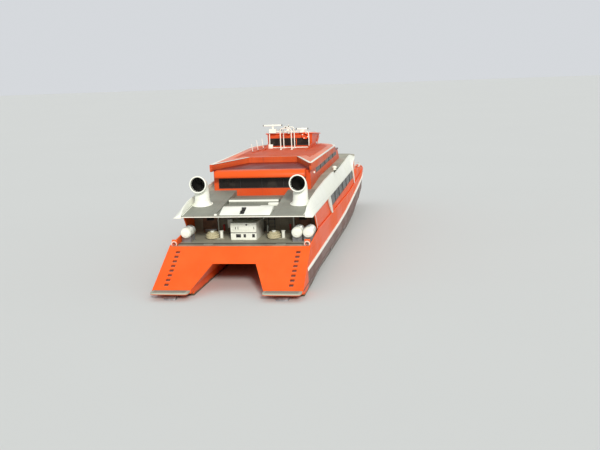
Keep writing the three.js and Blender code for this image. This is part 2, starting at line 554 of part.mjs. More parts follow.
const AFT_BAND = { low: 5600, high: 6390, half: 3350 };
const upperAft = () => {
  const half = UPPER_IN - GAP;
  const plate = box(UPPER_AFT_T, UPPER_AFT_T + WALL, -half, half, UPPER_FLOOR_Z + GAP, UPPER_CEILING_Z - GAP);
  const panes = Array.from({ length: 4 }, (_, i) => {
    const y0 = -AFT_BAND.half + 70 + i * (AFT_BAND.half / 2);
    return box(UPPER_AFT_T - 50, UPPER_AFT_T + WALL + 50, y0, y0 + AFT_BAND.half / 2 - 140,
      AFT_BAND.low, AFT_BAND.high);
  });
  return cut(plate, ...panes);
};
place('upper_aft', upperAft(), ORANGE);
place('upper_aft_glass', box(UPPER_AFT_T - GLASS, UPPER_AFT_T - GAP, -AFT_BAND.half, AFT_BAND.half,
  AFT_BAND.low - 40, AFT_BAND.high - GAP), DARK_GLASS);

const VISOR = [[UPPER_AFT_T - GAP, 6392], [11800, 6392], [11630, 6440], [11600, 6560], [11640, 6740],
  [11760, 6900], [11960, 6970], [UPPER_AFT_T - GAP, 6970]];
place('visor', sidePrism(VISOR, -3450, 3450), ORANGE);

const upperFront = () => {
  const half = UPPER_IN - GAP;
  const plate = sidePrism([
    [UPPER_FRONT.foot - WALL, FORE_ROOF_Z + GAP], [UPPER_FRONT.foot, FORE_ROOF_Z + GAP],
    [UPPER_FRONT.head, UPPER_CEILING_Z - GAP], [UPPER_FRONT.head - WALL, UPPER_CEILING_Z - GAP],
  ], -half, half);
  const panes = [-3400, -1700, 0, 1700].map((y) => box(27000, 29000, y + 80, y + 1620, 6180, 6680));
  return cut(plate, ...panes);
};
place('upper_front', upperFront(), ORANGE);
const upperFrontGlass = () => {
  const slope = (UPPER_FRONT.head - UPPER_FRONT.foot) / (UPPER_CEILING_Z - FORE_ROOF_Z);
  const line = (z, out) => [UPPER_FRONT.foot + slope * (z - FORE_ROOF_Z - GAP) + out, z];
  return sidePrism([line(6130, 1), line(6130, 1 + GLASS), line(6730, 1 + GLASS), line(6730, 1)], -3450, 3450);
};
place('upper_front_glass', upperFrontGlass(), DARK_GLASS);

const LOW_ROOF_END = 27950;
place('low_roof', box(UPPER_AFT_T, LOW_ROOF_END, -UPPER_SIDE_Y, UPPER_SIDE_Y, UPPER_CEILING_Z, LOW_ROOF_Z),
  DEEP_RED);

// Crown of the roof: its aft corners sweep back like horns, and its edge hangs down along the sides
const HORN = { t: 12050, y: 3910 };
const NOTCH = { t: 17000, y: 1980 };
const crown = () => {
  const half = [[NOTCH.t, NOTCH.y], [HORN.t, HORN.y], [25100, 3890], [26400, 3640], [27400, 3080],
    [28100, 2200], [28400, 1100]];
  const top = planPrism([...half, ...half.map(([t, y]) => [t, -y]).reverse()], LOW_ROOF_Z + GAP, CROWN_Z);
  const skirt = sidePrism([[HORN.t, LOW_ROOF_Z + 20], [HORN.t + 60, 6860], [16200, 6790], [25100, 6960],
    [25100, 7200], [HORN.t, 7200]], UPPER_SIDE_Y + GLASS, HORN.y);
  return join(top, skirt, mirrored(skirt));
};
place('crown', crown(), ORANGE);

// Fixed fittings of the aft roof
const onWell = (t) => mix(ROOF_EDGE_Z, WELL_END_Z, (t - ROOF_EDGE_T) / (roofEnd - ROOF_EDGE_T));
const onRamp = (t) => mix(ROOF_EDGE_Z, RAMP_END_Z, (t - ROOF_EDGE_T) / (roofEnd - ROOF_EDGE_T));
// A wedge with a sloped aft face and a notch for the lamp
const ROOF_BOX = {
  t0: 5900, ridge: 7000, t1: 7300, y0: -1960, y1: 1650, z: 5000, lip: 60, notch: [-85, 255, 4650, 6850],
};
const roofBox = () => {
  const { t0, ridge, t1, y0, y1, z, lip, notch } = ROOF_BOX;
  const wedge = sidePrism([[t0, onWell(t0) + GAP], [t1, onWell(t1) + GAP], [t1, z], [ridge, z],
    [t0, onWell(t0) + lip]], y0, y1);
  return cut(wedge, box(t0 - 10, notch[3], notch[0], notch[1], notch[2], z + 10));
};
place('roof_box', roofBox(), WHITE);

// Ventilator cowls: a flared foot, a trunk and a bend to a mouth facing aft
const COWL = { t: 8700, y: 3630, mouthT: 7830, mouthZ: 6500, bend: 720, wall: 28, sides: 18 };
const cowlRings = (inset) => {
  const rings = [
    { t: COWL.t, z: 4720, turn: 0, r: 740 }, { t: COWL.t, z: 4960, turn: 0, r: 690 },
    { t: COWL.t, z: 5110, turn: 0, r: 590 }, { t: COWL.t, z: 5300, turn: 0, r: 545 },
  ];
  for (let i = 0; i <= 5; i += 1) {
    const turn = (Math.PI / 2) * (i / 5);
    rings.push({
      t: COWL.t - COWL.bend * (1 - Math.cos(turn)),
      z: COWL.mouthZ - COWL.bend * (1 - Math.sin(turn)),
      turn,
      r: 540,
    });
  }
  rings.push({ t: COWL.mouthT - 20, z: COWL.mouthZ, turn: Math.PI / 2, r: 560 });
  rings.push({ t: COWL.mouthT - 90, z: COWL.mouthZ, turn: Math.PI / 2, r: 595 });
  return rings.map(({ t, z, turn, r }) => Array.from({ length: COWL.sides }, (_, i) => {
    const a = (i / COWL.sides) * Math.PI * 2;
    const across = Math.cos(a) * (r - inset);
    const along = Math.sin(a) * (r - inset);
    return [t + along * Math.cos(turn), COWL.y + across, z + along * Math.sin(turn)];
  }));
};
const cowl = () => {
  const outer = loft(cowlRings(0), ([t, y, z]) => [z < 5000 ? t : z, y]);
  const inner = loft(cowlRings(COWL.wall).slice(2), ([t, y, z]) => [z < 5250 ? t : z, y]);
  const mouth = lengthwise(COWL.mouthT - 200, COWL.mouthT - 80, COWL.y, COWL.mouthZ, 560, 560, COWL.sides);
  const roof = sidePrism([[5000, 4000], [12000, 4000], [12000, onRamp(12000) + GAP],
    [5000, onRamp(5000) + GAP]], 2000, 5000);
  return cut(outer, inner, mouth, roof);
};
placeBoth('cowl', cowl(), WHITE);

// Wheelhouse, with a front that leans forward and slanted corners
const WHEELHOUSE = {
  foot: [[24400, 1950], [26350, 1950], [28000, 900]],
  head: [[24400, 2000], [28500, 1960], [29050, 950]],
  roof: [[24250, 2140], [28650, 2080], [29250, 1050]],
  slope: 0.089, headZ: 8600, roofHigh: 95,
};
const AFT_PANES = { half: 1700, low: 7660, high: 8180, post: 60, lap: 40 };
const FRONT_PANES = { low: 7660, high: 8080, lap: 40 };
const wheelLoop = (outline, z, outset) => {
  const half = outline.map(([t, y], i) => [t + (i === 0 ? -outset : outset * 0.6), y + outset]);
  return [...half, ...half.map(([t, y]) => [t, -y]).reverse()].map(([t, y]) => [t, y, z(t)]);
};
const headLine = (t) => WHEELHOUSE.headZ - (t - WHEELHOUSE.head[0][0]) * WHEELHOUSE.slope;
const wheelShell = (outset) => loft([wheelLoop(WHEELHOUSE.foot, () => CROWN_Z + GAP, outset),
  wheelLoop(WHEELHOUSE.head, headLine, outset)], planView);
// Room ahead of the slanted corners, which lean like the front
const ahead = (lap, y0, y1) => {
  const { low, high } = FRONT_PANES;
  return sidePrism([[27100 - lap * 2, low - lap], [30000, low - lap], [30000, high + lap],
    [27900 - lap, high + lap]], y0, y1);
};
const wheelhouse = () => {
  const inner = loft([wheelLoop(WHEELHOUSE.foot, () => CROWN_Z - 1, -WALL),
    wheelLoop(WHEELHOUSE.head, (t) => headLine(t) + 1, -WALL)], planView);
  const { half, low, high, post } = AFT_PANES;
  const wide = (half * 2 - post * 2) / 3;
  const aft = [0, 1, 2].map((i) => -half + i * (wide + post))
    .map((y) => box(24000, 24600, y, y + wide, low, high));
  const front = [[-850, -320], [-270, 270], [320, 850], [1020, 1850], [-1850, -1020]]
    .map(([y0, y1]) => ahead(0, y0, y1));
  return cut(wheelShell(0), inner, ...aft, ...front);
};
place('wheelhouse_glass', common(cut(wheelShell(GLASS), wheelShell(1)), ahead(FRONT_PANES.lap, -3000, 3000)),
  DARK_GLASS);
const aftGlass = () => {
  const { half, low, high, lap } = AFT_PANES;
  const face = WHEELHOUSE.foot[0][0];
  return box(face - GLASS, face - GAP, -half - lap, half + lap, low - lap, high + lap);
};
place('wheelhouse_aft_glass', aftGlass(), DARK_GLASS);
const wheelRoof = () => {
  const half = WHEELHOUSE.roof;
  const outline = [...half, ...half.map(([t, y]) => [t, -y]).reverse()];
  return loft([outline.map(([t, y]) => [t, y, headLine(t) + GAP]),
    outline.map(([t, y]) => [t, y * 0.985, headLine(t) + WHEELHOUSE.roofHigh])], planView);
};
place('wheelhouse_roof', wheelRoof(), ORANGE);
// Low buttress plates that run aft from the corners
const buttress = () => sidePrism([[21100, CROWN_Z + GAP], [24450, CROWN_Z + GAP], [24450, 7850],
  [23220, 7620]], 1870, 1950);
place('wheelhouse', join(wheelhouse(), buttress(), mirrored(buttress())), ORANGE);

// Pipe arch that carries the radars
const PIPE = 45;
const ARCH = { t: 24050, half: 1750, top: 8850, bend: 260, foot: CROWN_Z + GAP, rail: CROWN_Z + 50 };
const MAST = { t0: 22600, t1: 24000, half: 480, top: 9250, bend: 200 };
const hoop = (t, half, top, bend) => pipe([[t, -half, ARCH.foot], [t, -half, top], [t, half, top],
  [t, half, ARCH.foot]], PIPE, bend);
const arch = () => join(
  hoop(ARCH.t, ARCH.half, ARCH.top, ARCH.bend),
  hoop(MAST.t0, MAST.half, MAST.top, MAST.bend), hoop(MAST.t1, MAST.half, MAST.top, MAST.bend),
  bar([ARCH.t, -ARCH.half, ARCH.rail], [ARCH.t, ARCH.half, ARCH.rail], PIPE),
  ...[-1, 1].flatMap((side) => [
    bar([MAST.t0, side * MAST.half, ARCH.rail], [MAST.t1, side * MAST.half, ARCH.rail], PIPE),
    bar([MAST.t0, side * MAST.half, ARCH.top], [MAST.t1, side * MAST.half, ARCH.top], PIPE),
    bar([MAST.t0, side * MAST.half * 0.4, MAST.top], [MAST.t1, side * MAST.half * 0.4, MAST.top], PIPE),
  ]),
);

// Radars: a gearbox on the arch, a neck up to its base height, and a scanner that turns on it
const RADARS = [
  { name: 'radar_port', y: 1420, wide: 1700, half: 300, low: 8760, high: 9100, base: 9300 },
  { name: 'radar_starboard', y: -1200, wide: 1050, half: 190, low: 8805, high: 8900, base: 8950 },
];
const RADAR = { deep: 340, neck: 90, hub: 70, hubHigh: 60, bar: 150, barHigh: 120 };
const pedestal = ({ y, half, low, high, base }) => join(
  box(ARCH.t - RADAR.deep / 2, ARCH.t + RADAR.deep / 2, y - half, y + half, low, high),
  upright(ARCH.t, y, high - 1, base, RADAR.neck),
);
place('pipe_arch', join(arch(), ...RADARS.map(pedestal)), WHITE);
RADARS.forEach(({ name, y, wide, base }) => {
  const [low, middle] = [base + SEAT, base + SEAT + RADAR.hubHigh];
  const scanner = join(upright(ARCH.t, y, low, middle, RADAR.hub),
    box(ARCH.t - RADAR.bar / 2, ARCH.t + RADAR.bar / 2, y - wide / 2, y + wide / 2, middle - 1,
      middle + RADAR.barHigh));
  place(`${name}_scanner`, scanner, WHITE);
});

// Whip aerials on one rail
const WHIPS = [
  { t: 20460, y: 2450, high: 760 }, { t: 21700, y: 2280, high: 960 }, { t: 23000, y: 2100, high: 980 },
];
const whips = () => join(
  bar([20300, 2472, CROWN_Z + 35], [23160, 2078, CROWN_Z + 35], 45),
  ...WHIPS.map(({ t, y, high }) => bar([t, y, CROWN_Z + 40], [t - 40, y + 110, CROWN_Z + high], 24)),
);
place('whip_aerials', cut(whips(), box(20000, 24000, 1500, 3000, CROWN_Z - 200, CROWN_Z + GAP)), WHITE);

// Life raft drums on cradles
const RAFTS = [
  { name: 'port', y: 4420 }, { name: 'starboard', y: -4420 }, { name: 'starboard_inner', y: -3620 },
];
const DRUM = { t0: 6600, t1: 8100, r: 380, z: 3180, band: 15, end: 130, taper: 70 };
RAFTS.forEach(({ name, y }) => {
  const { t0, t1, r, z, band, end, taper } = DRUM;
  const middle = (t0 + t1) / 2;
  const drum = join(lengthwise(t0 + end, t1 - end, y, z, r), lengthwise(t0, t0 + end + 1, y, z, r - taper, r),
    lengthwise(t1 - end - 1, t1, y, z, r, r - taper), lengthwise(middle - 30, middle + 30, y, z, r + band));
  place(`raft_${name}`, drum, WHITE);
});
const CRADLE = { half: 340, top: 2950, thick: 60, fromEnd: 300 };
const cradle = ({ y }) => {
  const { half, top, thick, fromEnd } = CRADLE;
  const [aft, fore] = [DRUM.t0 + fromEnd, DRUM.t1 - fromEnd - thick];
  const saddle = (t) => crossPrism([[y - half, DECK_Z + GAP], [y + half, DECK_Z + GAP], [y + half, top],
    [y - half, top]], t, t + thick);
  const runner = (y0) => box(aft - 50, fore + thick + 50, y0, y0 + thick, DECK_Z + GAP, DECK_Z + thick);
  return cut(join(saddle(aft), saddle(fore), runner(y - half + 40), runner(y + half - 40 - thick)),
    lengthwise(DRUM.t0 - 50, DRUM.t1 + 50, y, DRUM.z, DRUM.r + GAP));
};
place('raft_cradle_port', cradle(RAFTS[0]), STEEL);
place('raft_cradle_starboard', join(cradle(RAFTS[1]), cradle(RAFTS[2]),
  box(DRUM.t0 + CRADLE.fromEnd, DRUM.t0 + CRADLE.fromEnd + CRADLE.thick, RAFTS[1].y, RAFTS[2].y,
    DECK_Z + GAP, DECK_Z + CRADLE.thick)), STEEL);

// Locker on the aft deck, with a hinged lid over its aft part
const LOCKER = { t0: 7550, hingeT: 8800, t1: 9950, y0: -550, y1: 1330, z: 3690, wall: 40, lid: 50 };
const LOCKER_VENTS = { across: [[-430, -230], [220, 400], [590, 950]], z0: 2680, z1: 2930, deep: 20 };
const LOCKER_GROOVE = { z0: 2990, z1: 3050, deep: 14 };
const locker = () => {
  const { t0, hingeT, t1, y0, y1, z, wall } = LOCKER;
  const vents = LOCKER_VENTS.across.map(([a, b]) => box(t0 - 50, t0 + LOCKER_VENTS.deep, a, b,
    LOCKER_VENTS.z0, LOCKER_VENTS.z1));
  const groove = box(t0 - 50, t0 + LOCKER_GROOVE.deep, y0 - 10, y1 + 10, LOCKER_GROOVE.z0, LOCKER_GROOVE.z1);
  return cut(box(t0, t1, y0, y1, DECK_Z + GAP, z),
    box(t0 + wall, t1 - wall, y0 + wall, y1 - wall, DECK_Z + wall, z - wall),
    box(t0 + wall, hingeT - wall, y0 + wall, y1 - wall, z - wall - 1, z + 10), groove,
    ...vents);
};
place('locker', locker(), WHITE);
const lockerLid = () => {
  const { t0, hingeT, y0, y1, z, lid } = LOCKER;
  const knuckles = [0.15, 0.85].map((f) => mix(y0, y1, f))
    .map((y) => crosswise(y - 90, y + 90, hingeT, z + SEAT + 30, 30, 12));
  return join(box(t0 - 30, hingeT, y0 - 20, y1 + 20, z + SEAT, z + SEAT + lid), ...knuckles);
};
place('locker_lid', lockerLid(), WHITE);

// Ladder on the aft wall, up to the roof
const LADDER = { y: -1200, half: 230, foot: 9740, head: 9990, top: 4560 };
const ladder = () => {
  const at = (f) => [mix(LADDER.foot, LADDER.head, f), mix(DECK_Z + 20, LADDER.top, f)];
  return cut(join(...[-1, 1].map((side) => bar([at(-0.02)[0], LADDER.y + side * LADDER.half, at(-0.02)[1]],
    [at(1)[0], LADDER.y + side * LADDER.half, at(1)[1]], 28)),
  ...[-1, 1].map((side) => box(LADDER.head - 60, CABIN_AFT_T - GAP, LADDER.y + side * LADDER.half - 15,
    LADDER.y + side * LADDER.half + 15, LADDER.top - 190, LADDER.top - 150)),
  ...Array.from({ length: 7 }, (_, i) => {
    const [t, z] = at((i + 0.8) / 7.4);
    return bar([t, LADDER.y - LADDER.half, z], [t, LADDER.y + LADDER.half, z], 18);
  })), box(9000, 11000, -2000, 0, 2000, DECK_Z + GAP));
};
place('ladder', ladder(), STEEL);

// Fore deck: windlass with a turning drum, and rails
const WINDLASS = { t: 35200, z: FOREDECK_Z + 330, half: 330 };
const windlassCheek = (y0, y1) => box(WINDLASS.t - 130, WINDLASS.t + 130, y0, y1,
  FOREDECK_Z + 60, FOREDECK_Z + 470);
const windlass = () => join(
  box(WINDLASS.t - 260, WINDLASS.t + 260, -520, 520, FOREDECK_Z + GAP, FOREDECK_Z + 70),
  windlassCheek(WINDLASS.half + SEAT, WINDLASS.half + 108),
  windlassCheek(-WINDLASS.half - 108, -WINDLASS.half - SEAT),
);
place('windlass', cut(windlass(), crosswise(-450, 450, WINDLASS.t, WINDLASS.z, 66)), STEEL);
place('windlass_drum', join(crosswise(-435, 435, WINDLASS.t, WINDLASS.z, 60),
  crosswise(-WINDLASS.half + 60, WINDLASS.half - 60, WINDLASS.t, WINDLASS.z, 150),
  crosswise(-WINDLASS.half, -WINDLASS.half + 61, WINDLASS.t, WINDLASS.z, 215),
  crosswise(WINDLASS.half - 61, WINDLASS.half, WINDLASS.t, WINDLASS.z, 215)), STEEL);

const RAIL_HALF = [[32600, 4720], [34400, 4700], [36200, 4660], [37900, 4560], [39000, 4300], [39380, 3850],
  [38500, 2400], [37180, 1300]];
const RAIL_LINE = [...RAIL_HALF, ...RAIL_HALF.map(([t, y]) => [t, -y]).reverse()];
const bowRail = () => {
  const heights = [FOREDECK_Z + 620, FOREDECK_Z + 1020];
  const rails = heights.flatMap((z) => RAIL_LINE.slice(1)
    .map(([t, y], i) => bar([...RAIL_LINE[i], z], [t, y, z], 24)));
  const posts = RAIL_LINE.map(([t, y]) => bar([t, y, FOREDECK_Z - 40], [t, y, FOREDECK_Z + 1045], 28));
  return cut(join(...rails, ...posts), box(30000, 39900, -5500, 5500, 3000, FOREDECK_Z + GAP));
};
place('bow_rail', bowRail(), WHITE);

// Steering nozzles on upright pins, each with a reversing bucket
const nozzlePin = (z0, z1) => upright(JET.pinT, JET.y, z0, z1, 50);
// The bucket's pins, each with a shoulder that holds the bucket's arm off
const bucketPin = (side, reach, r) => {
  const [near, far] = [JET.y + side * 240, JET.y + side * reach];
  return crosswise(Math.min(near, far), Math.max(near, far), JET.bucketT, JET.z, r);
};
const steeringNozzle = () => cut(join(
  lengthwise(760, 1040, JET.y, JET.z, 290, 355), lengthwise(500, 761, JET.y, JET.z, 250, 290),
  nozzlePin(JET.z + 300, JET.z + 375 - SEAT), nozzlePin(JET.z - 375 + SEAT, JET.z - 300),
  ...[-1, 1].flatMap((side) => [bucketPin(side, 392, 40), bucketPin(side, 366 - SEAT, 75)]),
), lengthwise(490, 761, JET.y, JET.z, 205, 245), lengthwise(760, 1050, JET.y, JET.z, 245, 325));
placeBoth('steering_nozzle', steeringNozzle(), STEEL);
const bucket = () => {
  const shell = [];
  const [from, to] = [0.42, 1.9];
  for (let i = 0; i <= 8; i += 1) shell.push([mix(from, to, i / 8), 440]);
  for (let i = 8; i >= 0; i -= 1) shell.push([mix(from, to, i / 8), 405]);
  const scoop = sidePrism(shell.map(([a, r]) => [JET.bucketT - Math.cos(a) * r, JET.z + Math.sin(a) * r]),
    JET.y - 395, JET.y + 395);
  const arm = (y0, y1) => sidePrism([[JET.bucketT - 62, JET.z - 62], [JET.bucketT + 62, JET.z - 62],
    [JET.bucketT + 140, JET.z + 420], [JET.bucketT - 380, JET.z + 190]], y0, y1);
  return cut(join(scoop, arm(JET.y + 366, JET.y + 395), arm(JET.y - 395, JET.y - 366)),
    crosswise(JET.y - 500, JET.y + 500, JET.bucketT, JET.z, 46));
};
placeBoth('reversing_bucket', bucket(), STEEL);

// Coils of mooring line, each over one post of the stern bitts, with a base, a shoulder and a top
const COIL = { inner: 165, outer: 520, high: 500, base: 60 + GAP };
const coil = (y) => new THREE.LatheGeometry([
  [COIL.inner, COIL.base], [COIL.outer, COIL.base], [COIL.outer + 10, 180], [COIL.outer - 40, 360],
  [COIL.outer - 160, COIL.high], [COIL.inner, COIL.high], [COIL.inner, COIL.base],
].map(([r, z]) => new THREE.Vector2(r, z)), 24).rotateX(Math.PI / 2)
  .translate(STERN + STERN_BITTS.t, y, DECK_Z);
place('mooring_line_port', coil(STERN_BITTS.port + BITT.apart), ROPE);
place('mooring_line_starboard', coil(-STERN_BITTS.starboard + BITT.apart), ROPE);

export default model;
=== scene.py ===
"""The looks of the passenger ferry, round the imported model: finishes, fittings, mooring lines and stage."""

import json
import math
from functools import reduce

import bpy
from mathutils import Matrix, Vector

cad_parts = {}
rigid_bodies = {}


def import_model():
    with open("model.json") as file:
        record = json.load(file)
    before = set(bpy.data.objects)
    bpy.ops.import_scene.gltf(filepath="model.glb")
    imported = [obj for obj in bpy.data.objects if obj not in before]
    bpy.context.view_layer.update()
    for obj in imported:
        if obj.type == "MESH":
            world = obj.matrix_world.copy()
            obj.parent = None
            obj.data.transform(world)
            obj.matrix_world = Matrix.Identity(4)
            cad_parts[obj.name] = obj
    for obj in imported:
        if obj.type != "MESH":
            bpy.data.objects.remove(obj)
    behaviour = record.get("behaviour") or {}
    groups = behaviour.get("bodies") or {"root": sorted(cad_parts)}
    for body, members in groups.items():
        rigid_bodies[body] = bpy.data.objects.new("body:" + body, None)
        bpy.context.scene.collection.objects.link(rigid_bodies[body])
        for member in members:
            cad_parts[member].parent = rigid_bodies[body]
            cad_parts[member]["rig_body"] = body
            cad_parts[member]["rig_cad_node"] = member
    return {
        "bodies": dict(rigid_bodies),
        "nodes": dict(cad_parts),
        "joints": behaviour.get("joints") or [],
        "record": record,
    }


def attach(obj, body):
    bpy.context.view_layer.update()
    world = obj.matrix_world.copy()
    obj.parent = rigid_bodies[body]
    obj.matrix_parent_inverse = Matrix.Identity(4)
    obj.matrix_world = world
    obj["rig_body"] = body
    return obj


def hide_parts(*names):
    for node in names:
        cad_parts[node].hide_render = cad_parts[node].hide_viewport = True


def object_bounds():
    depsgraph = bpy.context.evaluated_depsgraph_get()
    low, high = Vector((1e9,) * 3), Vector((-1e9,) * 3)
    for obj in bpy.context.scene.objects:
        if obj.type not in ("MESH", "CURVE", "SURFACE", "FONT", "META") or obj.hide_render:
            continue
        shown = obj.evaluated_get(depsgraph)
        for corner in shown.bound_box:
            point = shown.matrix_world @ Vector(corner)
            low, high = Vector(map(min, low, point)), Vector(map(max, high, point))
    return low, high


bl_info = {
    "name": "Passenger ferry",
    "version": (1, 0, 0),
    "blender": (4, 5, 0),
    "location": "3D View > Sidebar > Ferry",
    "description": "Finishes and fittings of a twin-hulled passenger ferry",
    "category": "Object",
}

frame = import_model()
CAD_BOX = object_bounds()
STERN = CAD_BOX[0].x
HULL_LENGTH = -2 * STERN
NODES = frame["nodes"]
PHOTO_WIDTH = 600
SENSOR = 36


def srgb(red, green, blue):
    """A colour given from 0 to 255 as a screen shows it, in linear light."""
    return tuple(
        (c / 255 / 12.92) if c / 255 <= 0.04045 else ((c / 255 + 0.055) / 1.055) ** 2.4
        for c in (red, green, blue)
    )


def toned(colour, share):
    """A colour made darker or lighter."""
    return tuple(c * share for c in colour)


def at(t, y, z):
    """A point t metres forward of the stern end, y to port and z above the water."""
    return Vector((STERN + t, y, z))


# Settings that a user would change


def colour_setting(name, use, red, green, blue):
    return bpy.props.FloatVectorProperty(name=name, description=use, subtype="COLOR", min=0, max=1,
                                         default=srgb(red, green, blue))


def length_setting(name, use, default):
    return bpy.props.FloatProperty(name=name, description=use, default=default, unit="LENGTH")


def angle_setting(name, use, default):
    return bpy.props.FloatProperty(name=name, description=use, default=default, subtype="ANGLE")


class FerryColours(bpy.types.PropertyGroup):
    """Colours of the paints and linings, some of them darkened as painted shade"""

    orange: colour_setting("Orange", "Hulls and cabins", 236, 84, 14)
    faded: colour_setting("Faded orange", "Orange paint where the sun has bleached it", 238, 116, 54)
    # The low roof's deep red is painted shade: a darker red for the recess round the crown
    deep_red: colour_setting("Deep red", "Low roof round the crown", 112, 28, 21)
    # The lower side's mauve is painted shade for the hull side that slopes inward below the fender
    shaded_mauve: colour_setting("Lower side", "Hull sides below the fender", 116, 88, 80)
    bottom: colour_setting("Bottom paint", "Hulls below the waterline", 84, 36, 30)
    white: colour_setting("White", "Fairings, cowls and fittings", 236, 238, 226)
    deck: colour_setting("Deck grey", "Decks and steps", 164, 162, 144)
    roof: colour_setting("Roof grey", "Aft roof", 134, 136, 124)
    lining: colour_setting("Dark lining", "Aft wall under the roof", 126, 116, 96)
    rope: colour_setting("Rope", "Mooring lines", 224, 216, 178)


class FerrySizes(bpy.types.PropertyGroup):
    """Sizes of the fittings"""

    rope_diameter: length_setting("Rope diameter", "Thickness of the mooring lines", 0.07)
    stripe_width: length_setting("Stripe width", "White rim of the crown", 0.21)
    window_bar: length_setting("Window bar", "Width of the bars over the glass", 0.055)
    capping: length_setting("Capping radius", "Rounded top of the hull sides", 0.06)


class FerryStage(bpy.types.PropertyGroup):
    """Camera and light"""

    camera_place: bpy.props.FloatVectorProperty(
        name="Camera place", description="Where the photograph was taken from", subtype="TRANSLATION",
        unit="LENGTH", default=(-74.898, -15.320, 15.072))
    yaw: angle_setting("Yaw", "Turn to port of straight ahead", 0.18344)
    pitch: angle_setting("Pitch", "Tilt below the horizon", 0.17912)
    roll: angle_setting("Roll", "Tilt of the horizon", -0.03977)
    focal_pixels: bpy.props.FloatProperty(
        name="Focal length", description="In pixels of the photograph", default=917.5)
    sun: bpy.props.FloatProperty(name="Sun", description="Strength of the key light", default=2.9)
    sun_travel: bpy.props.FloatVectorProperty(
        name="Sun travel", subtype="DIRECTION", default=(0.84, 0.32, -0.44),
        description="Which way the light travels: low, from astern and a little starboard")
    sky: bpy.props.FloatProperty(name="Sky", description="Strength of the light all round", default=0.72)
    floor: colour_setting("Floor", "Colour of the floor", 206, 208, 205)


# Making shapes

AHEAD, TO_PORT, UP = (1, 0, 0), (0, 1, 0), (0, 0, 1)


def start():
    """Leaves nothing selected, so that an operator acts on new geometry alone."""
    if bpy.context.mode != "OBJECT":
        bpy.ops.object.mode_set(mode="OBJECT")
    bpy.ops.object.select_all(action="DESELECT")


def pick(piece):
    """Selects one object alone and makes it active."""
    start()
    piece.select_set(True)
    bpy.context.view_layer.objects.active = piece


def finished(rounding=0.0):
    """Puts the active object's place into its mesh and rounds its edges."""
    piece = bpy.context.object
    bpy.ops.object.transform_apply(location=True, rotation=True, scale=True)
    if rounding:
        bevel = piece.modifiers.new("Rounding", "BEVEL")
        bevel.width = rounding
        bevel.segments = 2
        bevel.limit_method = "ANGLE"
        bevel.angle_limit = math.radians(35)
        bpy.ops.object.modifier_apply(modifier=bevel.name)
    return piece


def block(low, high, rounding=0.01):
    """A box between two corners, each given as t, y and z."""
    start()
    low, high = at(*low), at(*high)
    bpy.ops.mesh.primitive_cube_add(size=1, location=(low + high) / 2, scale=high - low)
    return finished(rounding)


def strap(a, b, width, thick, out, rounding=0.004):
    """A flat bar from a to b whose broad face looks towards out."""
    start()
    along = (b - a).normalized()
    side = Vector(out).cross(along).normalized()
    turn = Matrix((along, side, along.cross(side))).transposed()
    bpy.ops.mesh.primitive_cube_add(
        size=1, location=(a + b) / 2, rotation=turn.to_euler(), scale=((b - a).length, width, thick))
    return finished(rounding)


def rod(a, b, radius, tip=None, sides=12, rounding=0.0):
    """A round bar from a to b, tapering to tip."""
    start()
    bpy.ops.mesh.primitive_cone_add(
        vertices=sides, radius1=radius, radius2=radius if tip is None else tip, depth=(b - a).length,
        location=(a + b) / 2, rotation=(b - a).to_track_quat("Z", "Y").to_euler())
    return finished(rounding)


def post(t, y, low, high, radius, *more, **rest):
    """An upright round bar between two heights."""
    return rod(at(t, y, low), at(t, y, high), radius, *more, **rest)


def bar(aft, fore, y, z, radius, *more, **rest):
    """A round bar that lies along the boat."""
    return rod(at(aft, y, z), at(fore, y, z), radius, *more, **rest)


def ring(centre, axis, radius, thickness, sides=36, section=10):
    """A round ring about an axis."""
    start()
    bpy.ops.mesh.primitive_torus_add(
        major_radius=radius, minor_radius=thickness, major_segments=sides, minor_segments=section,
        location=centre, rotation=Vector(axis).to_track_quat("Z", "Y").to_euler())
    return finished()


def dome(centre, radius, flatten=1.0):
    """A ball, flattened upwards, for lamps and caps."""
    start()
    bpy.ops.mesh.primitive_uv_sphere_add(
        segments=20, ring_count=12, radius=radius, location=centre, scale=(1, 1, flatten))
    return finished()


def pipe(points, radius, section=3):
    """A pipe along a line of points, as a mesh with a UV map along it."""
    start()
    bpy.ops.curve.primitive_bezier_curve_add()
    piece = bpy.context.object
    curve = piece.data
    curve.splines.clear()
    line = curve.splines.new("POLY")
    line.points.add(len(points) - 1)
    for spot, place in zip(line.points, points):
        spot.co = (*place, 1)
    curve.dimensions = "3D"
    curve.bevel_depth = radius
    curve.bevel_resolution = section
    curve.use_fill_caps = True
    piece.location = (0, 0, 0)
    bpy.ops.object.convert(target="MESH")
    return finished()


def slab(corners, thickness, axis, rounding=0.0):
    """A flat piece through its corners, made thick along y (axis 1) or z (axis 2)."""
    start()
    bpy.ops.mesh.primitive_circle_add(vertices=len(corners), fill_type="NGON")
    piece = bpy.context.object
    for vertex, corner in zip(piece.data.vertices, corners):
        vertex.co = corner
    thick = piece.modifiers.new("Thickness", "SOLIDIFY")
    thick.thickness = thickness
    thick.offset = 1 if piece.data.polygons[0].normal[axis] > 0 else -1
    bpy.ops.object.modifier_apply(modifier=thick.name)
    return finished(rounding)


def along(table, t, column=1):
    """The value at t in a table of rows that start with t."""
    for a, b in zip(table, table[1:]):
        if t <= b[0]:
            break
    return a[column] + (b[column] - a[column]) * (t - a[0]) / (b[0] - a[0])


def line_of(corners, width, thick, out, rounding=0.004):
    """Flat bars through a row of corners, as one piece, every second one a hair higher."""
    bars = []
    for i, (a, b) in enumerate(zip(corners, corners[1:])):
        lift = Vector(out) * (0.001 * (i % 2))
        bars.append(strap(a + lift, b + lift, width, thick, out, rounding))
    return joined(bars)


def joined(parts):
    """All the parts as one object."""
    start()
    for part in parts:
        part.select_set(True)
    bpy.context.view_layer.objects.active = parts[0]
    if len(parts) > 1:
        bpy.ops.object.join()
    return bpy.context.object


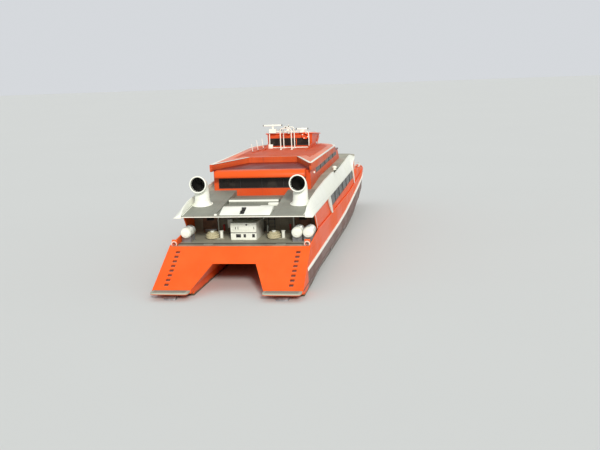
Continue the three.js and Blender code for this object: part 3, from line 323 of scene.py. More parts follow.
def mirrored(piece):
    """A copy of the piece on the other side of the boat."""
    pick(piece)
    bpy.ops.object.duplicate()
    copy = bpy.context.object
    copy.scale.y = -1
    bpy.ops.object.transform_apply(location=True, rotation=True, scale=True)
    bpy.ops.object.mode_set(mode="EDIT")
    bpy.ops.mesh.select_all(action="SELECT")
    bpy.ops.mesh.normals_make_consistent(inside=False)
    bpy.ops.object.mode_set(mode="OBJECT")
    return copy


def refined(node, rounding):
    """A merged copy of a CAD node, with its edges rounded."""
    pick(NODES[node])
    bpy.ops.object.duplicate()
    piece = bpy.context.object
    piece.parent = None
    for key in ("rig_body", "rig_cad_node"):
        del piece[key]
    bpy.ops.object.mode_set(mode="EDIT")
    bpy.ops.mesh.select_all(action="SELECT")
    bpy.ops.mesh.remove_doubles(threshold=0.0002)
    bpy.ops.mesh.customdata_custom_splitnormals_clear()
    bpy.ops.object.mode_set(mode="OBJECT")
    return finished(rounding)


PAINTS_OF_SLOT = {
    "orange_paint": "orange upper_orange visor_orange salmon lower_side foothold lead brown red buoy",
    "white_paint": "white lens", "steel": "steel dark_metal", "dark_lining": "rubber lining",
    "deck_grey": "deck tread tan kerb", "roof_grey": "roof", "dark_glass": "glass", "rope": "rope",
}
SLOT_OF = {paint: slot for slot, paints in PAINTS_OF_SLOT.items() for paint in paints.split()}


def dress(parts, name, material, body="vessel", replaces=(), smooth=32):
    """Joins finished parts to one named piece, paints and shades it and ties it to its body."""
    piece = joined(parts) if isinstance(parts, list) else parts
    pick(piece)
    piece.name = name
    piece.data.name = name
    piece.data.materials.clear()
    piece.data.materials.append(MATERIALS[material])
    for face in piece.data.polygons:
        face.material_index = 0
    bpy.ops.object.shade_smooth_by_angle(angle=math.radians(smooth))
    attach(piece, body)
    if replaces:
        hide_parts(*replaces)
    return piece


def dress_both(parts, name, material):
    """Makes one piece to port and its mirror image to starboard."""
    piece = joined(parts) if isinstance(parts, list) else parts
    other = mirrored(piece)
    dress(piece, f"{name}_port", material)
    dress(other, f"{name}_starboard", material)


# Places on the boat: t forward of the stern end, y to port of the centreline, z above the water, in metres

DECK_Z = 2.5
FOREDECK_Z = 3.3
CROWN_Z = 7.4
STEP_LIP_Z = 0.44
VENT_T = 9.43
ARCH_T = 24.05
COWL = {"t": 8.7, "y": 3.63, "z": 6.5, "mouth": 7.745, "radius": 0.58, "bend": 0.72}
LIFEBUOY = {"t": 24.16, "y": -1.41, "z": 8.45, "radius": 0.3, "thick": 0.062}
BITTS = [(8.1, y, DECK_Z) for y in (2.16, 2.84, -1.71, -2.39)]
BITTS += [(36.4, y, FOREDECK_Z) for y in (2.16, 2.84, -2.16, -2.84)]


# Making materials

MATERIALS = {}


class Recipe:
    """The nodes of one material or group, and short ways to add them."""

    def __init__(self, tree):
        self.tree = tree

    def add(self, kind, settings=None, **inputs):
        node = self.tree.nodes.new(kind)
        for key, value in (settings or {}).items():
            setattr(node, key, value)
        for key, value in inputs.items():
            self.feed(node, key.replace("_", " "), value)
        return node

    def feed(self, node, key, value):
        socket = next((s for s in node.inputs if s.name == key and s.enabled), None)
        if socket is None:
            raise RuntimeError(f"{node.name} has no input named {key}")
        if isinstance(value, bpy.types.NodeSocket):
            self.tree.links.new(value, socket)
        elif hasattr(value, "__len__") and socket.type == "RGBA" and len(value) == 3:
            socket.default_value = (*value, 1)
        else:
            socket.default_value = value

    def maths(self, operation, a, b=0.0, c=0.0, clamp=False):
        node = self.add("ShaderNodeMath", {"operation": operation, "use_clamp": clamp})
        for socket, value in zip(node.inputs, (a, b, c)):
            if isinstance(value, bpy.types.NodeSocket):
                self.tree.links.new(value, socket)
            else:
                socket.default_value = value
        return node.outputs[0]

    def times(self, *parts):
        return reduce(lambda a, b: self.maths("MULTIPLY", a, b), parts)

    def plus(self, *parts):
        return reduce(lambda a, b: self.maths("ADD", a, b), parts)

    def most(self, *parts):
        return reduce(lambda a, b: self.maths("MAXIMUM", a, b), parts)

    def less(self, a, b):
        return self.maths("SUBTRACT", a, b)

    def distance(self, a, b):
        return self.maths("SQRT", self.plus(self.times(a, a), self.times(b, b)))

    def between(self, value, low, high, soft=0.01):
        """1 where the value lies from low to high, with a soft edge."""
        above = self.ramp(value, low - soft, low + soft)
        below = self.ramp(value, high + soft, high - soft)
        return self.maths("MULTIPLY", above, below)

    def ramp(self, value, low, high, to_low=0.0, to_high=1.0):
        node = self.add("ShaderNodeMapRange", {"interpolation_type": "SMOOTHSTEP"}, Value=value,
                        From_Min=low, From_Max=high, To_Min=to_low, To_Max=to_high)
        return node.outputs[0]

    def mix(self, share, a, b):
        node = self.add("ShaderNodeMix", {"data_type": "RGBA"})
        for key, value in (("Factor", share), ("A", a), ("B", b)):
            self.feed(node, key, value)
        return next(s for s in node.outputs if s.enabled)

    def noise(self, place, scale, detail=3.0, roughness=0.55):
        return self.add("ShaderNodeTexNoise", Vector=place, Scale=scale, Detail=detail,
                        Roughness=roughness).outputs["Fac"]

    def stretched(self, place, scale):
        return self.add("ShaderNodeMapping", Vector=place, Scale=scale).outputs[0]

    def place(self):
        return self.add("ShaderNodeTexCoord").outputs["Object"]

    def facing(self):
        """The three parts of the surface's direction, without their signs and with them."""
        normal = self.add("ShaderNodeTexCoord").outputs["Normal"]
        parts = self.add("ShaderNodeSeparateXYZ", Vector=normal).outputs
        return [self.maths("ABSOLUTE", part) for part in parts], parts

    def split(self, vector):
        return self.add("ShaderNodeSeparateXYZ", Vector=vector).outputs

    def give(self, result, **values):
        for key, value in values.items():
            self.tree.links.new(value, result[key])


def group(name, inputs, outputs):
    """A shader node group with named sockets, with its own recipe."""
    tree = bpy.data.node_groups.new(name, "ShaderNodeTree")
    for label, kind, value in inputs:
        socket = tree.interface.new_socket(name=label, in_out="INPUT", socket_type=kind)
        socket.default_value = value
    for label, kind in outputs:
        tree.interface.new_socket(name=label, in_out="OUTPUT", socket_type=kind)
    source = tree.nodes.new("NodeGroupInput")
    result = tree.nodes.new("NodeGroupOutput")
    return Recipe(tree), source.outputs, result.inputs


COLOUR, NUMBER = "NodeSocketColor", "NodeSocketFloat"


def weathering_group():
    """Sun fading in broad patches, streaks of dirt that run down, and salt specks."""
    r, given, result = group("Weathering", [
        ("Colour", COLOUR, (0.5, 0.5, 0.5, 1)), ("Faded", COLOUR, (0.6, 0.6, 0.6, 1)),
        ("Dirt", COLOUR, (0.1, 0.09, 0.07, 1)), ("Fading", NUMBER, 0.4), ("Streaks", NUMBER, 0.3),
        ("Gloss", NUMBER, 0.4),
    ], [("Colour", COLOUR), ("Roughness", NUMBER), ("Height", NUMBER)])
    place = r.place()
    (_, _, up), _ = r.facing()
    patches = r.ramp(r.noise(place, 0.32, 4.0), 0.35, 0.68)
    sunny = r.plus(r.times(patches, 0.65), r.times(up, 0.35))
    faded = r.mix(r.times(sunny, given["Fading"]), given["Colour"], given["Faded"])
    runs = r.ramp(r.noise(r.stretched(place, (2.6, 2.6, 0.16)), 1.6, 5.0, 0.7), 0.55, 0.78)
    steep = r.maths("SUBTRACT", 1.0, up, clamp=True)
    streaks = r.times(runs, steep, given["Streaks"])
    blotches = r.times(r.ramp(r.noise(place, 1.3, 6.0, 0.7), 0.5, 0.8), given["Streaks"])
    soiled = r.mix(r.most(streaks, r.times(blotches, 0.45)), faded, given["Dirt"])
    specks = r.noise(place, 34.0, 2.0)
    shade = r.add("ShaderNodeHueSaturation", Value=r.ramp(specks, 0.2, 0.8, 0.93, 1.06), Color=soiled)
    r.give(result, Colour=shade.outputs[0],
           Roughness=r.plus(given["Gloss"], r.ramp(patches, 0, 1, -0.05, 0.14)),
           Height=r.times(r.noise(place, 6.0, 3.0), 0.004))


def seam_group():
    """Thin lines where plates meet, along, across and up the boat."""
    r, given, result = group("Plate seams", [
        ("Along", NUMBER, 2.0), ("Across", NUMBER, 2.0), ("Up", NUMBER, 1.2), ("Width", NUMBER, 0.012),
    ], [("Seam", NUMBER), ("Height", NUMBER)])
    parts = r.split(r.place())
    facing, _ = r.facing()
    lines = []
    for part, spacing, away in zip(parts, ("Along", "Across", "Up"), facing):
        gap = r.maths("PINGPONG", part, r.times(given[spacing], 0.5))
        line = r.add("ShaderNodeMapRange", Value=gap, From_Min=given["Width"], From_Max=0.0).outputs[0]
        lines.append(r.times(line, r.ramp(away, 0.75, 0.45)))
    seam = r.most(*lines)
    r.give(result, Seam=seam, Height=r.times(seam, -0.006))


def grip_group():
    """The raised grit of an anti-slip deck, worn in paths."""
    r, given, result = group("Deck grip", [("Size", NUMBER, 30.0), ("Wear", NUMBER, 0.4)],
                             [("Shade", NUMBER), ("Height", NUMBER)])
    place = r.place()
    grit = r.add("ShaderNodeTexVoronoi", Vector=place, Scale=given["Size"]).outputs["Distance"]
    paths = r.times(r.ramp(r.noise(place, 0.55, 3.0), 0.4, 0.7), given["Wear"])
    r.give(result, Shade=paths, Height=r.times(grit, 0.004))


def use(r, name, **inputs):
    """Places a shader node group in a material."""
    node = r.add("ShaderNodeGroup")
    node.node_tree = bpy.data.node_groups[name]
    for key, value in inputs.items():
        r.feed(node, key, value)
    return node.outputs


def surface(name, look, **fixed):
    """A material whose colour, roughness and relief come from a function that is given the recipe."""
    material = bpy.data.materials.new(name)
    material.use_nodes = True
    r = Recipe(material.node_tree)
    shader = material.node_tree.nodes["Principled BSDF"]
    for key, value in fixed.items():
        r.feed(shader, key.replace("_", " "), value)
    looks = look(r)
    for key, value in (("Base Color", looks[0]), ("Roughness", looks[1])):
        r.feed(shader, key, value)
    if len(looks) > 2:
        bump = r.add("ShaderNodeBump", Strength=0.6, Distance=1.0, Height=looks[2])
        r.feed(shader, "Normal", bump.outputs[0])
    return material


def painted(r, colour, faded, dirt=srgb(70, 58, 46), fading=0.4, streaks=0.25, gloss=0.38,
            along=2.4, across=2.4, seams=0.35):
    """Weathered paint over plates with seams."""
    paint = use(r, "Weathering", Colour=colour, Faded=faded, Dirt=dirt, Fading=fading, Streaks=streaks,
                Gloss=gloss)
    lines = use(r, "Plate seams", Along=along, Across=across)
    shaded = r.mix(r.times(lines["Seam"], seams), paint["Colour"], dirt)
    return shaded, paint["Roughness"], r.plus(paint["Height"], lines["Height"])


def look(paint):
    """Lets a look be given its colours first and its recipe later."""
    return lambda *given, **more: lambda r: paint(r, *given, **more)


paint_look = look(painted)


# Where the hull's colours meet, along the boat, across it and in height

FENDER_FOOT = [(0.0, 1.4), (18.0, 1.8), (26.0, 2.26), (32.0, 2.81), (36.0, 3.18), (HULL_LENGTH, 3.45)]
CURVE_TOP = 4.0
STEP_END = (2.6, 3.2)
DARK_DECK_STRIP = (6.0, 6.55)
DECK_LEVELS = ((2.47, 2.62), (3.28, 3.42))
BITT_FEET = ((7.6, 8.6), (35.9, 36.9))
BITT_REACH = 3.6
BULWARK_Y = 4.9
NARROWING = ((37.0, 0.15), (39.2, 0.6))


def fender_foot(r, x):
    """The height of the fender's lower edge along the boat."""
    line = r.add("ShaderNodeFloatCurve", Value=r.maths("DIVIDE", r.less(x, STERN), HULL_LENGTH))
    points = line.mapping.curves[0].points
    points[0].location = (0.0, FENDER_FOOT[0][1] / CURVE_TOP)
    points[1].location = (1.0, FENDER_FOOT[-1][1] / CURVE_TOP)
    for t, z in FENDER_FOOT[1:-1]:
        points.new(t / HULL_LENGTH, z / CURVE_TOP)
    line.mapping.update()
    return r.times(line.outputs[0], CURVE_TOP)


def hull_decks(r, x, y, z, rising):
    """1 on the decks between the bulwarks and on the feet of the bitts."""
    flat = r.ramp(rising, 0.96, 0.985)
    levels = r.most(*(r.between(z, low, high) for low, high in DECK_LEVELS))
    off_centre = r.maths("ABSOLUTE", y)
    feet = r.most(*(r.between(x, STERN + aft, STERN + fore) for aft, fore in BITT_FEET))
    bitts = r.times(feet, r.between(off_centre, 0.0, BITT_REACH), r.ramp(z, 2.46, 2.48))
    narrowing = [r.times(r.most(r.less(x, STERN + t), 0.0), rate) for t, rate in NARROWING]
    inside = r.ramp(r.plus(off_centre, *narrowing), BULWARK_Y, BULWARK_Y - 0.02)
    return r.most(r.times(flat, levels, inside), bitts)


@look
def hull_look(r, colours):
    """Orange topsides, painted shade below the fender and at the waterline, bottom paint, and grey decks."""
    x, y, z = r.split(r.place())
    _, (_, sideways, rising) = r.facing()
    orange, rough, height = painted(r, colours.orange, colours.faded, streaks=0.22)
    grey = use(r, "Deck grip", Size=26.0, Wear=0.5)
    deck = r.mix(grey["Shade"], colours.deck, toned(colours.deck, 0.75))
    # Below the fender the orange gives way to mauve, as painted shade
    under = r.ramp(r.less(z, fender_foot(r, x)), 0.02, -0.02)
    ahead = r.ramp(x, STERN + STEP_END[0], STERN + STEP_END[1])
    outside = r.ramp(r.times(sideways, y), 0.9, 1.3)
    topsides = r.mix(r.times(under, ahead, outside), orange, colours.shaded_mauve)
    # A dark band with a ragged edge just above the waterline is painted contact shadow where the hull meets
    # the floor
    contact_shade_height = r.plus(z, r.times(r.noise(r.place(), 1.1, 5.0), 0.22))
    contact_shaded = r.mix(r.ramp(contact_shade_height, 0.34, 0.16), topsides, srgb(74, 72, 52))
    bottom = r.mix(r.ramp(z, 0.02, -0.02), contact_shaded, colours.bottom)
    decks = hull_decks(r, x, y, z, rising)
    # A dark strip across the aft deck, just forward of the roof's aft edge
    dark_deck_strip = r.between(x, STERN + DARK_DECK_STRIP[0], STERN + DARK_DECK_STRIP[1], 0.03)
    striped_deck = r.mix(r.times(dark_deck_strip, 0.75), deck, srgb(70, 58, 50))
    coloured = r.mix(decks, bottom, striped_deck)
    relief = r.plus(height, r.times(grey["Height"], decks))
    return coloured, r.plus(rough, r.times(decks, 0.25)), relief


@look
def deck_look(r, colour, lip=None, dark=0.72):
    """Grey grit on top, and the lip's own paint along the foot of the sides."""
    _, _, z = r.split(r.place())
    _, (_, _, rising) = r.facing()
    grip = use(r, "Deck grip", Size=24.0, Wear=0.6)
    paint = use(r, "Weathering", Colour=colour, Faded=toned(colour, 1.15), Dirt=srgb(60, 58, 48),
                Fading=0.5, Streaks=0.5, Gloss=0.62)
    top = r.mix(grip["Shade"], paint["Colour"], toned(colour, dark))
    if lip is None:
        return top, paint["Roughness"], r.plus(paint["Height"], grip["Height"])
    flat = r.most(r.ramp(rising, 0.6, 0.8), r.ramp(z, STEP_LIP_Z, STEP_LIP_Z + 0.01))
    return r.mix(flat, lip, top), paint["Roughness"], r.times(grip["Height"], flat)


@look
def roof_look(r, colours):
    """Grey-green aft roof with a white vent box standing on it."""
    x, y, z = r.split(r.place())
    _, (_, _, rising) = r.facing()
    grip = use(r, "Deck grip", Size=20.0, Wear=0.55)
    paint = use(r, "Weathering", Colour=colours.roof, Faded=toned(colours.roof, 1.3),
                Dirt=srgb(58, 56, 46), Fading=0.6, Streaks=0.55, Gloss=0.6)
    lines = use(r, "Plate seams", Along=1.6, Across=1.2, Up=5.0)
    top = r.mix(grip["Shade"], paint["Colour"], toned(colours.roof, 0.78))
    seamed = r.mix(r.times(lines["Seam"], 0.4), top, srgb(60, 58, 50))
    aft_face = r.between(x, STERN + VENT_T, STERN + VENT_T + 0.17)
    middle = r.ramp(r.maths("ABSOLUTE", y), 1.87, 1.85)
    white = r.times(aft_face, r.ramp(z, 4.97, 4.99), middle, r.ramp(rising, 0.6, 0.4))
    height = r.plus(paint["Height"], grip["Height"], lines["Height"])
    return r.mix(white, seamed, colours.white), paint["Roughness"], height


@look
def cowl_look(r, colours):
    """White ventilators with painted shade inside the mouth and bend."""
    white, rough, height = painted(
        r, colours.white, srgb(214, 218, 200), dirt=srgb(150, 146, 126), seams=0.2)
    x, y, z = r.split(r.place())
    bend_z = COWL["z"] - COWL["bend"]
    ahead = r.most(r.less(x, STERN + COWL["t"] - COWL["bend"]), 0.0)
    off = r.less(r.distance(ahead, r.less(z, bend_z)), COWL["bend"])
    reach = r.distance(off, r.less(r.maths("ABSOLUTE", y), COWL["y"]))
    flare = r.maths("MULTIPLY_ADD", x, -0.495, 0.5765 + 0.495 * (STERN + COWL["mouth"]))
    inside = r.maths("LESS_THAN", reach, r.most(flare, 0.5145))
    # Painted shade: near black inside the mouth and the bend
    inner_shade = r.times(inside, r.maths("GREATER_THAN", z, bend_z))
    return r.mix(inner_shade, white, srgb(34, 32, 30)), rough, height


@look
def glass_look(r, tint, haze):
    """Dark tinted panes, faintly wavy and dusty."""
    place = r.place()
    dust = r.ramp(r.noise(place, 0.9, 5.0, 0.65), 0.42, 0.75)
    colour = r.mix(r.times(dust, 0.5), tint, haze)
    rough = r.ramp(dust, 0, 1, 0.24, 0.4)
    return colour, rough, r.times(r.noise(place, 0.8, 1.0), 0.012)


@look
def metal_look(r, colour):
    """Brushed or cast metal with dull patches."""
    place = r.place()
    brushed = r.noise(r.stretched(place, (3.0, 3.0, 40.0)), 6.0, 4.0)
    patches = r.noise(place, 3.0, 4.0)
    shade = r.mix(r.ramp(patches, 0.3, 0.7), toned(colour, 0.62), colour)
    return shade, r.ramp(brushed, 0.3, 0.7, 0.28, 0.55), r.times(brushed, 0.0015)


@look
def fender_look(r, colours):
    """White rubber in lengths, scuffed and marked by rubbing."""
    place = r.place()
    lines = use(r, "Plate seams", Along=2.9, Across=40.0, Up=40.0, Width=0.02)
    scuffs = r.ramp(r.noise(r.stretched(place, (0.5, 2.0, 7.0)), 1.8, 6.0, 0.7), 0.56, 0.74)
    rubber = r.mix(r.times(scuffs, 0.5), colours.white, srgb(120, 112, 100))
    seamed = r.mix(r.times(lines["Seam"], 0.8), rubber, srgb(60, 56, 50))
    return seamed, r.ramp(scuffs, 0, 1, 0.5, 0.75), lines["Height"]


@look
def rope_look(r, colours):
    """Laid strands that wind round the line, fibrous in tone, with painted shade in the grooves."""
    along = r.add("ShaderNodeUVMap").outputs[0]
    u, v, _ = r.split(along)
    turns = r.plus(r.times(u, 1500.0), r.times(v, 18.85))
    other = r.plus(r.times(v, 1500.0), r.times(u, 18.85))
    strand = r.most(r.times(r.maths("SINE", turns), 0.5), r.times(r.maths("SINE", other), 0.5))
    # Painted shade darkens the grooves between the strands
    groove_shade = r.ramp(strand, -0.35, 0.35)
    fibre = r.noise(r.place(), 60.0, 3.0)
    tone = r.mix(r.ramp(fibre, 0.3, 0.7), toned(colours.rope, 0.72), colours.rope)
    return (r.mix(groove_shade, srgb(160, 148, 112), tone), r.ramp(fibre, 0.2, 0.8, 0.8, 0.98),
            r.plus(r.times(strand, 0.006), r.times(fibre, 0.003)))


@look
def whip_look(r, colours):
    """White aerials on an orange foot rail."""
    _, _, z = r.split(r.place())
    patches = r.noise(r.place(), 6.0)
    foot = r.ramp(z, CROWN_Z + 0.1, CROWN_Z + 0.07)
    return r.mix(foot, colours.white, srgb(206, 76, 34)), r.ramp(patches, 0.3, 0.7, 0.4, 0.6)


@look
def plain_look(r, colour, dark, scale=2.0, low=0.45, high=0.65):
    """A small fitting's own colour, with uneven tone and gloss."""
    patches = r.noise(r.place(), scale, 5.0, 0.6)
    return (r.mix(r.ramp(patches, 0.35, 0.7), colour, dark), r.ramp(patches, 0.3, 0.7, low, high),
            r.times(patches, 0.002))


@look
def buoy_look(r, orange, white):
    """Orange ring with four white bands."""
    _, y, z = r.split(r.place())
    turn = r.maths("ARCTAN2", r.less(z, LIFEBUOY["z"]), r.less(y, LIFEBUOY["y"]))
    band = r.ramp(r.maths("SINE", r.times(turn, 4.0)), 0.82, 0.88)
    return r.mix(band, orange, white), r.ramp(r.noise(r.place(), 8.0), 0.3, 0.7, 0.45, 0.6)


# The finishes that reflect little of the light

MATT = "hull orange top_orange upper_orange visor_orange deep_red salmon tan glass".split()


def make_materials(colours):
    """Every finish of the boat, by a plain name."""
    weathering_group()
    seam_group()
    grip_group()
    orange, faded, white = colours.orange, colours.faded, colours.white
    off_white = srgb(222, 224, 206)
    looks = {
        "hull": hull_look(colours),
        "orange": paint_look(orange, faded, streaks=0.2),
        # The crown's orange is darkened as painted shade over the upper works
        "top_orange": paint_look(srgb(196, 78, 38), faded, fading=0.5, streaks=0.3, along=1.8, across=1.8),
        "upper_orange": paint_look(srgb(206, 76, 34), faded, fading=0.3, streaks=0.3),
        "visor_orange": paint_look(srgb(224, 84, 26), faded, fading=0.2, streaks=0.15, across=1.7),
        # Painted shade: the deep red of the recessed low roof
        "deep_red": paint_look(colours.deep_red, srgb(130, 46, 34), streaks=0.35),
        "white": paint_look(white, off_white, dirt=srgb(150, 146, 126), streaks=0.3, seams=0.3),
        "deck": deck_look(colours.deck),
        "step": deck_look(colours.deck, lip=srgb(222, 100, 56)),
        "roof": roof_look(colours),
        "lining": paint_look(colours.lining, srgb(128, 118, 98), dirt=srgb(30, 26, 20), streaks=0.4),
        "cowl": cowl_look(colours),
        # Salmon: faded orange, made lighter still as painted sunlight
        "salmon": paint_look(srgb(236, 132, 100), srgb(226, 152, 122), streaks=0.25, seams=0.2),
        # The lower side's mauve stands in for the shade below the fender
        "lower_side": plain_look(colours.shaded_mauve, srgb(104, 80, 74), 1.2),
        "tread": deck_look(srgb(112, 110, 100)),
        "tan": deck_look(srgb(204, 94, 64), dark=0.8),
        # Painted shade for the floors of the foothold pockets
        "foothold": plain_look(srgb(116, 58, 40), srgb(84, 46, 36)),
        "lead": plain_look(srgb(230, 196, 178), srgb(196, 160, 142)),
        "whip": whip_look(colours),
        "glass": glass_look(srgb(34, 30, 28), srgb(72, 66, 58)),
        # Black rubber, also used as painted shade in the roof notch and the hull outlets
        "rubber": plain_look(srgb(28, 27, 27), srgb(48, 46, 44)),
        "fender": fender_look(colours),
        "steel": metal_look(srgb(176, 178, 180)),
        # Dark metal, also used as painted shade on the locker's vent openings
        "dark_metal": metal_look(srgb(74, 74, 76)),
        "rope": rope_look(colours),
        "kerb": plain_look(srgb(158, 138, 114), srgb(112, 98, 84), 1.2),
        "brown": plain_look(srgb(132, 92, 62), srgb(92, 66, 46)),
        "red": plain_look(srgb(190, 40, 28), srgb(150, 34, 26)),
        "lens": plain_look(srgb(232, 232, 220), srgb(206, 206, 196), 4.0, 0.1, 0.2),
        "buoy": buoy_look(orange, white),
    }
    fixed = dict.fromkeys(MATT, {"Specular_IOR_Level": 0.2})
    fixed.update(steel={"Metallic": 0.9}, dark_metal={"Metallic": 0.6})
    for name, look in looks.items():
        MATERIALS[name] = surface(f"Ferry {name.replace('_', ' ')}", look, **fixed.get(name, {}))


# What the CAD nodes wear, where a star stands for the port and the starboard one

PAINTED = {
    "hull": "hull* cross_structure",
    "orange": "side_wall* cabin_front",
    "upper_orange": "upper_side* upper_aft upper_front wheelhouse",
    # The low roof wears the deep red of painted shade
    "deep_red": "low_roof",
    "glass": "side_glass* front_glass upper_side_glass* upper_aft_glass upper_front_glass wheelhouse_glass "
             "wheelhouse_aft_glass",
    "roof": "aft_roof",
    "lining": "aft_wall",
    "brown": "aft_door*",
    "deck": "upper_floor main_roof",
    "steel": "raft_cradle*",
    "dark_metal": "ladder",
}

# The nodes whose edges show get a skin: its finish, how far its edges are rounded, and the nodes

SKINS = [
    ("step", 0.03, "stern_step*"), ("fender", 0.02, "fender*"), ("white", 0.02, "fairing*"),
    # The crown wears the orange darkened as painted shade
    ("visor_orange", 0.02, "visor wheelhouse_roof"), ("top_orange", 0.03, "crown"),
    ("white", 0.03, "roof_box"), ("cowl", 0.0, "cowl*"), ("white", 0.0, "pipe_arch bow_rail"),
    ("white", 0.02, "radar_port_scanner radar_starboard_scanner"), ("whip", 0.0, "whip_aerials"),
    ("white", 0.012, "raft* raft_starboard_inner locker_lid"), ("white", 0.015, "locker"),
    ("dark_metal", 0.01, "windlass"), ("steel", 0.006, "windlass_drum"),
    ("steel", 0.004, "steering_nozzle*"), ("steel", 0.003, "reversing_bucket*"),
]
BODY_OF = {node: body for body, nodes in frame["record"]["behaviour"]["bodies"].items() for node in nodes}


def nodes_of(words):
    """The names of the nodes that a line of words stands for."""
    for word in words.split():
        yield from [word] if word[-1] != "*" else [word[:-1] + "_port", word[:-1] + "_starboard"]


class FERRY_OT_stage(bpy.types.Operator):
    """Adds the camera, the pale floor and the soft light"""

    bl_idname = "ferry.stage"
    bl_label = "Stage"

    def execute(self, context):
        stage = context.scene.ferry_stage
        start()
        turn = (Matrix.Rotation(stage.yaw - math.pi / 2, 3, "Z")
                @ Matrix.Rotation(math.pi / 2 - stage.pitch, 3, "X") @ Matrix.Rotation(stage.roll, 3, "Z"))
        bpy.ops.object.camera_add(location=stage.camera_place, rotation=turn.to_euler())
        camera = context.object
        camera.data.sensor_width = SENSOR
        camera.data.lens = stage.focal_pixels * SENSOR / PHOTO_WIDTH
        camera.data.clip_end = 1000
        context.scene.camera = camera
        start()
        bpy.ops.mesh.primitive_plane_add(size=900)
        floor = context.object
        floor.name = "floor"
        light, shade = tuple(stage.floor), toned(stage.floor, 0.97)
        pale = surface("Pale floor", lambda r: (r.mix(r.noise(r.place(), 0.05), light, shade), 0.7))
        floor.data.materials.append(pale)
        start()
        travel = Vector(stage.sun_travel).to_track_quat("-Z", "Y").to_euler()
        bpy.ops.object.light_add(type="SUN", rotation=travel)
        sun = context.object
        sun.data.energy = stage.sun
        sun.data.angle = math.radians(11)
        sun.data.color = (1.0, 0.97, 0.92)
        context.scene.world = bpy.data.worlds.new("Soft light")
        context.scene.world.use_nodes = True
        sky = context.scene.world.node_tree.nodes["Background"]
        sky.inputs["Color"].default_value = (0.93, 0.96, 1.0, 1)
        sky.inputs["Strength"].default_value = stage.sky
        context.scene.view_settings.view_transform = "Standard"
        return {"FINISHED"}


COILS = {"port": 2.84, "starboard": -1.71}
COIL = {"t": 8.1, "base": 0.062, "inner": 0.2, "spacing": 1.016, "layer": 1.06, "points_per_turn": 20}
LAYER_TURNS = (4, 4, 4, 4, 3, 2)


def coil_path(diameter, y):
    """The centreline of a mooring line, out from its post and coiled in layers up to a hump."""
    centre = at(COIL["t"], y, DECK_Z)
    step = diameter * COIL["spacing"]
    per_turn = COIL["points_per_turn"]
    points, angle = [], 0.0
    outward = True
    for layer, turns in enumerate(LAYER_TURNS):
        reach = COIL["inner"] + step * turns
        ends = (COIL["inner"], reach) if outward else (reach, COIL["inner"])
        lift = COIL["base"] + diameter * (0.5 + COIL["layer"] * layer)
        for i in range(turns * per_turn):
            share = i / (turns * per_turn)
            radius = ends[0] + (ends[1] - ends[0]) * share
            rise = max(0.0, (share * turns - (turns - 0.5)) / 0.5) if layer < len(LAYER_TURNS) - 1 else 0.0
            height = lift + diameter * COIL["layer"] * rise
            points.append(centre + Vector((radius * math.cos(angle), radius * math.sin(angle), height)))
            angle += math.tau / per_turn
        outward = not outward
    return points


class FERRY_OT_mooring_lines(bpy.types.Operator):
    """Lays a coil of mooring line over one post of each stern bitt"""

    bl_idname = "ferry.mooring_lines"
    bl_label = "Mooring lines"

    def execute(self, context):
        diameter = context.scene.ferry_sizes.rope_diameter
        for name, y in COILS.items():
            path = coil_path(diameter, y)
            line = pipe(path, diameter / 2, section=1)
            dress(line, f"mooring_rope_{name}", "rope", replaces=(f"mooring_line_{name}",), smooth=60)
        return {"FINISHED"}


class FERRY_OT_finishes(bpy.types.Operator):
    """Gives every CAD node its finish, and rounds those whose edges show"""

    bl_idname = "ferry.finishes"
    bl_label = "Finishes"

    def execute(self, context):
        for finish, words in PAINTED.items():
            for node in nodes_of(words):
                NODES[node].data.materials.clear()
                NODES[node].data.materials.append(MATERIALS[finish])
        for finish, rounding, words in SKINS:
            for node in nodes_of(words):
                dress(refined(node, rounding), f"{node}_skin", finish, BODY_OF[node], (node,))
        return {"FINISHED"}


# Lines that the solids follow, as rows of t and the values there

SHEER = [(4.57, 4.95, 2.67), (8.7, 4.95, 3.1), (18, 4.95, 3.1), (26, 4.95, 3.12), (32, 4.95, 3.42),
         (36, 4.94, 3.7), (38, 4.86, 3.86), (39.2, 4.6, 3.94), (39.88, 4.06, 3.955)]
CHINE = [(0.78, 5.03, 0.52), (4.57, 5.03, 0.6), (8.7, 5.03, 0.76), (18, 5.03, 0.95), (26, 5.03, 1.25),
         (32, 5.0, 1.7), (36, 4.85, 2.2), (38, 4.6, 2.6), (39.2, 4.15, 3.0), (39.85, 3.9, 3.54)]
FAIRING_FOOT = [(5.8, 4.4), (10.75, 4.493), (14.6, 4.568), (19.9, 4.671), (26.9, 4.808), (28.3, 4.86),
                (29.9, 5.62)]
ROOF_RAMP = [(5.85, 4.57), (12.55, 5.38)]

# The foot of the transom with its run and rise, and the middle of the port jet's mouth

TRANSOM = {"t": 0.75, "z": 0.57, "run": 3.82, "rise": 2.1}
JET = (1.45, 3.72, -0.17)


def smooth_line(rows, inward=0.0, step=0.6):
    """Points along a table of t, y and z."""
    first, last = rows[0][0], rows[-1][0]
    count = int((last - first) / step)
    places = [first + (last - first) * i / count for i in range(count + 1)]
    return [at(t, along(rows, t) - inward, along(rows, t, 2)) for t in places]


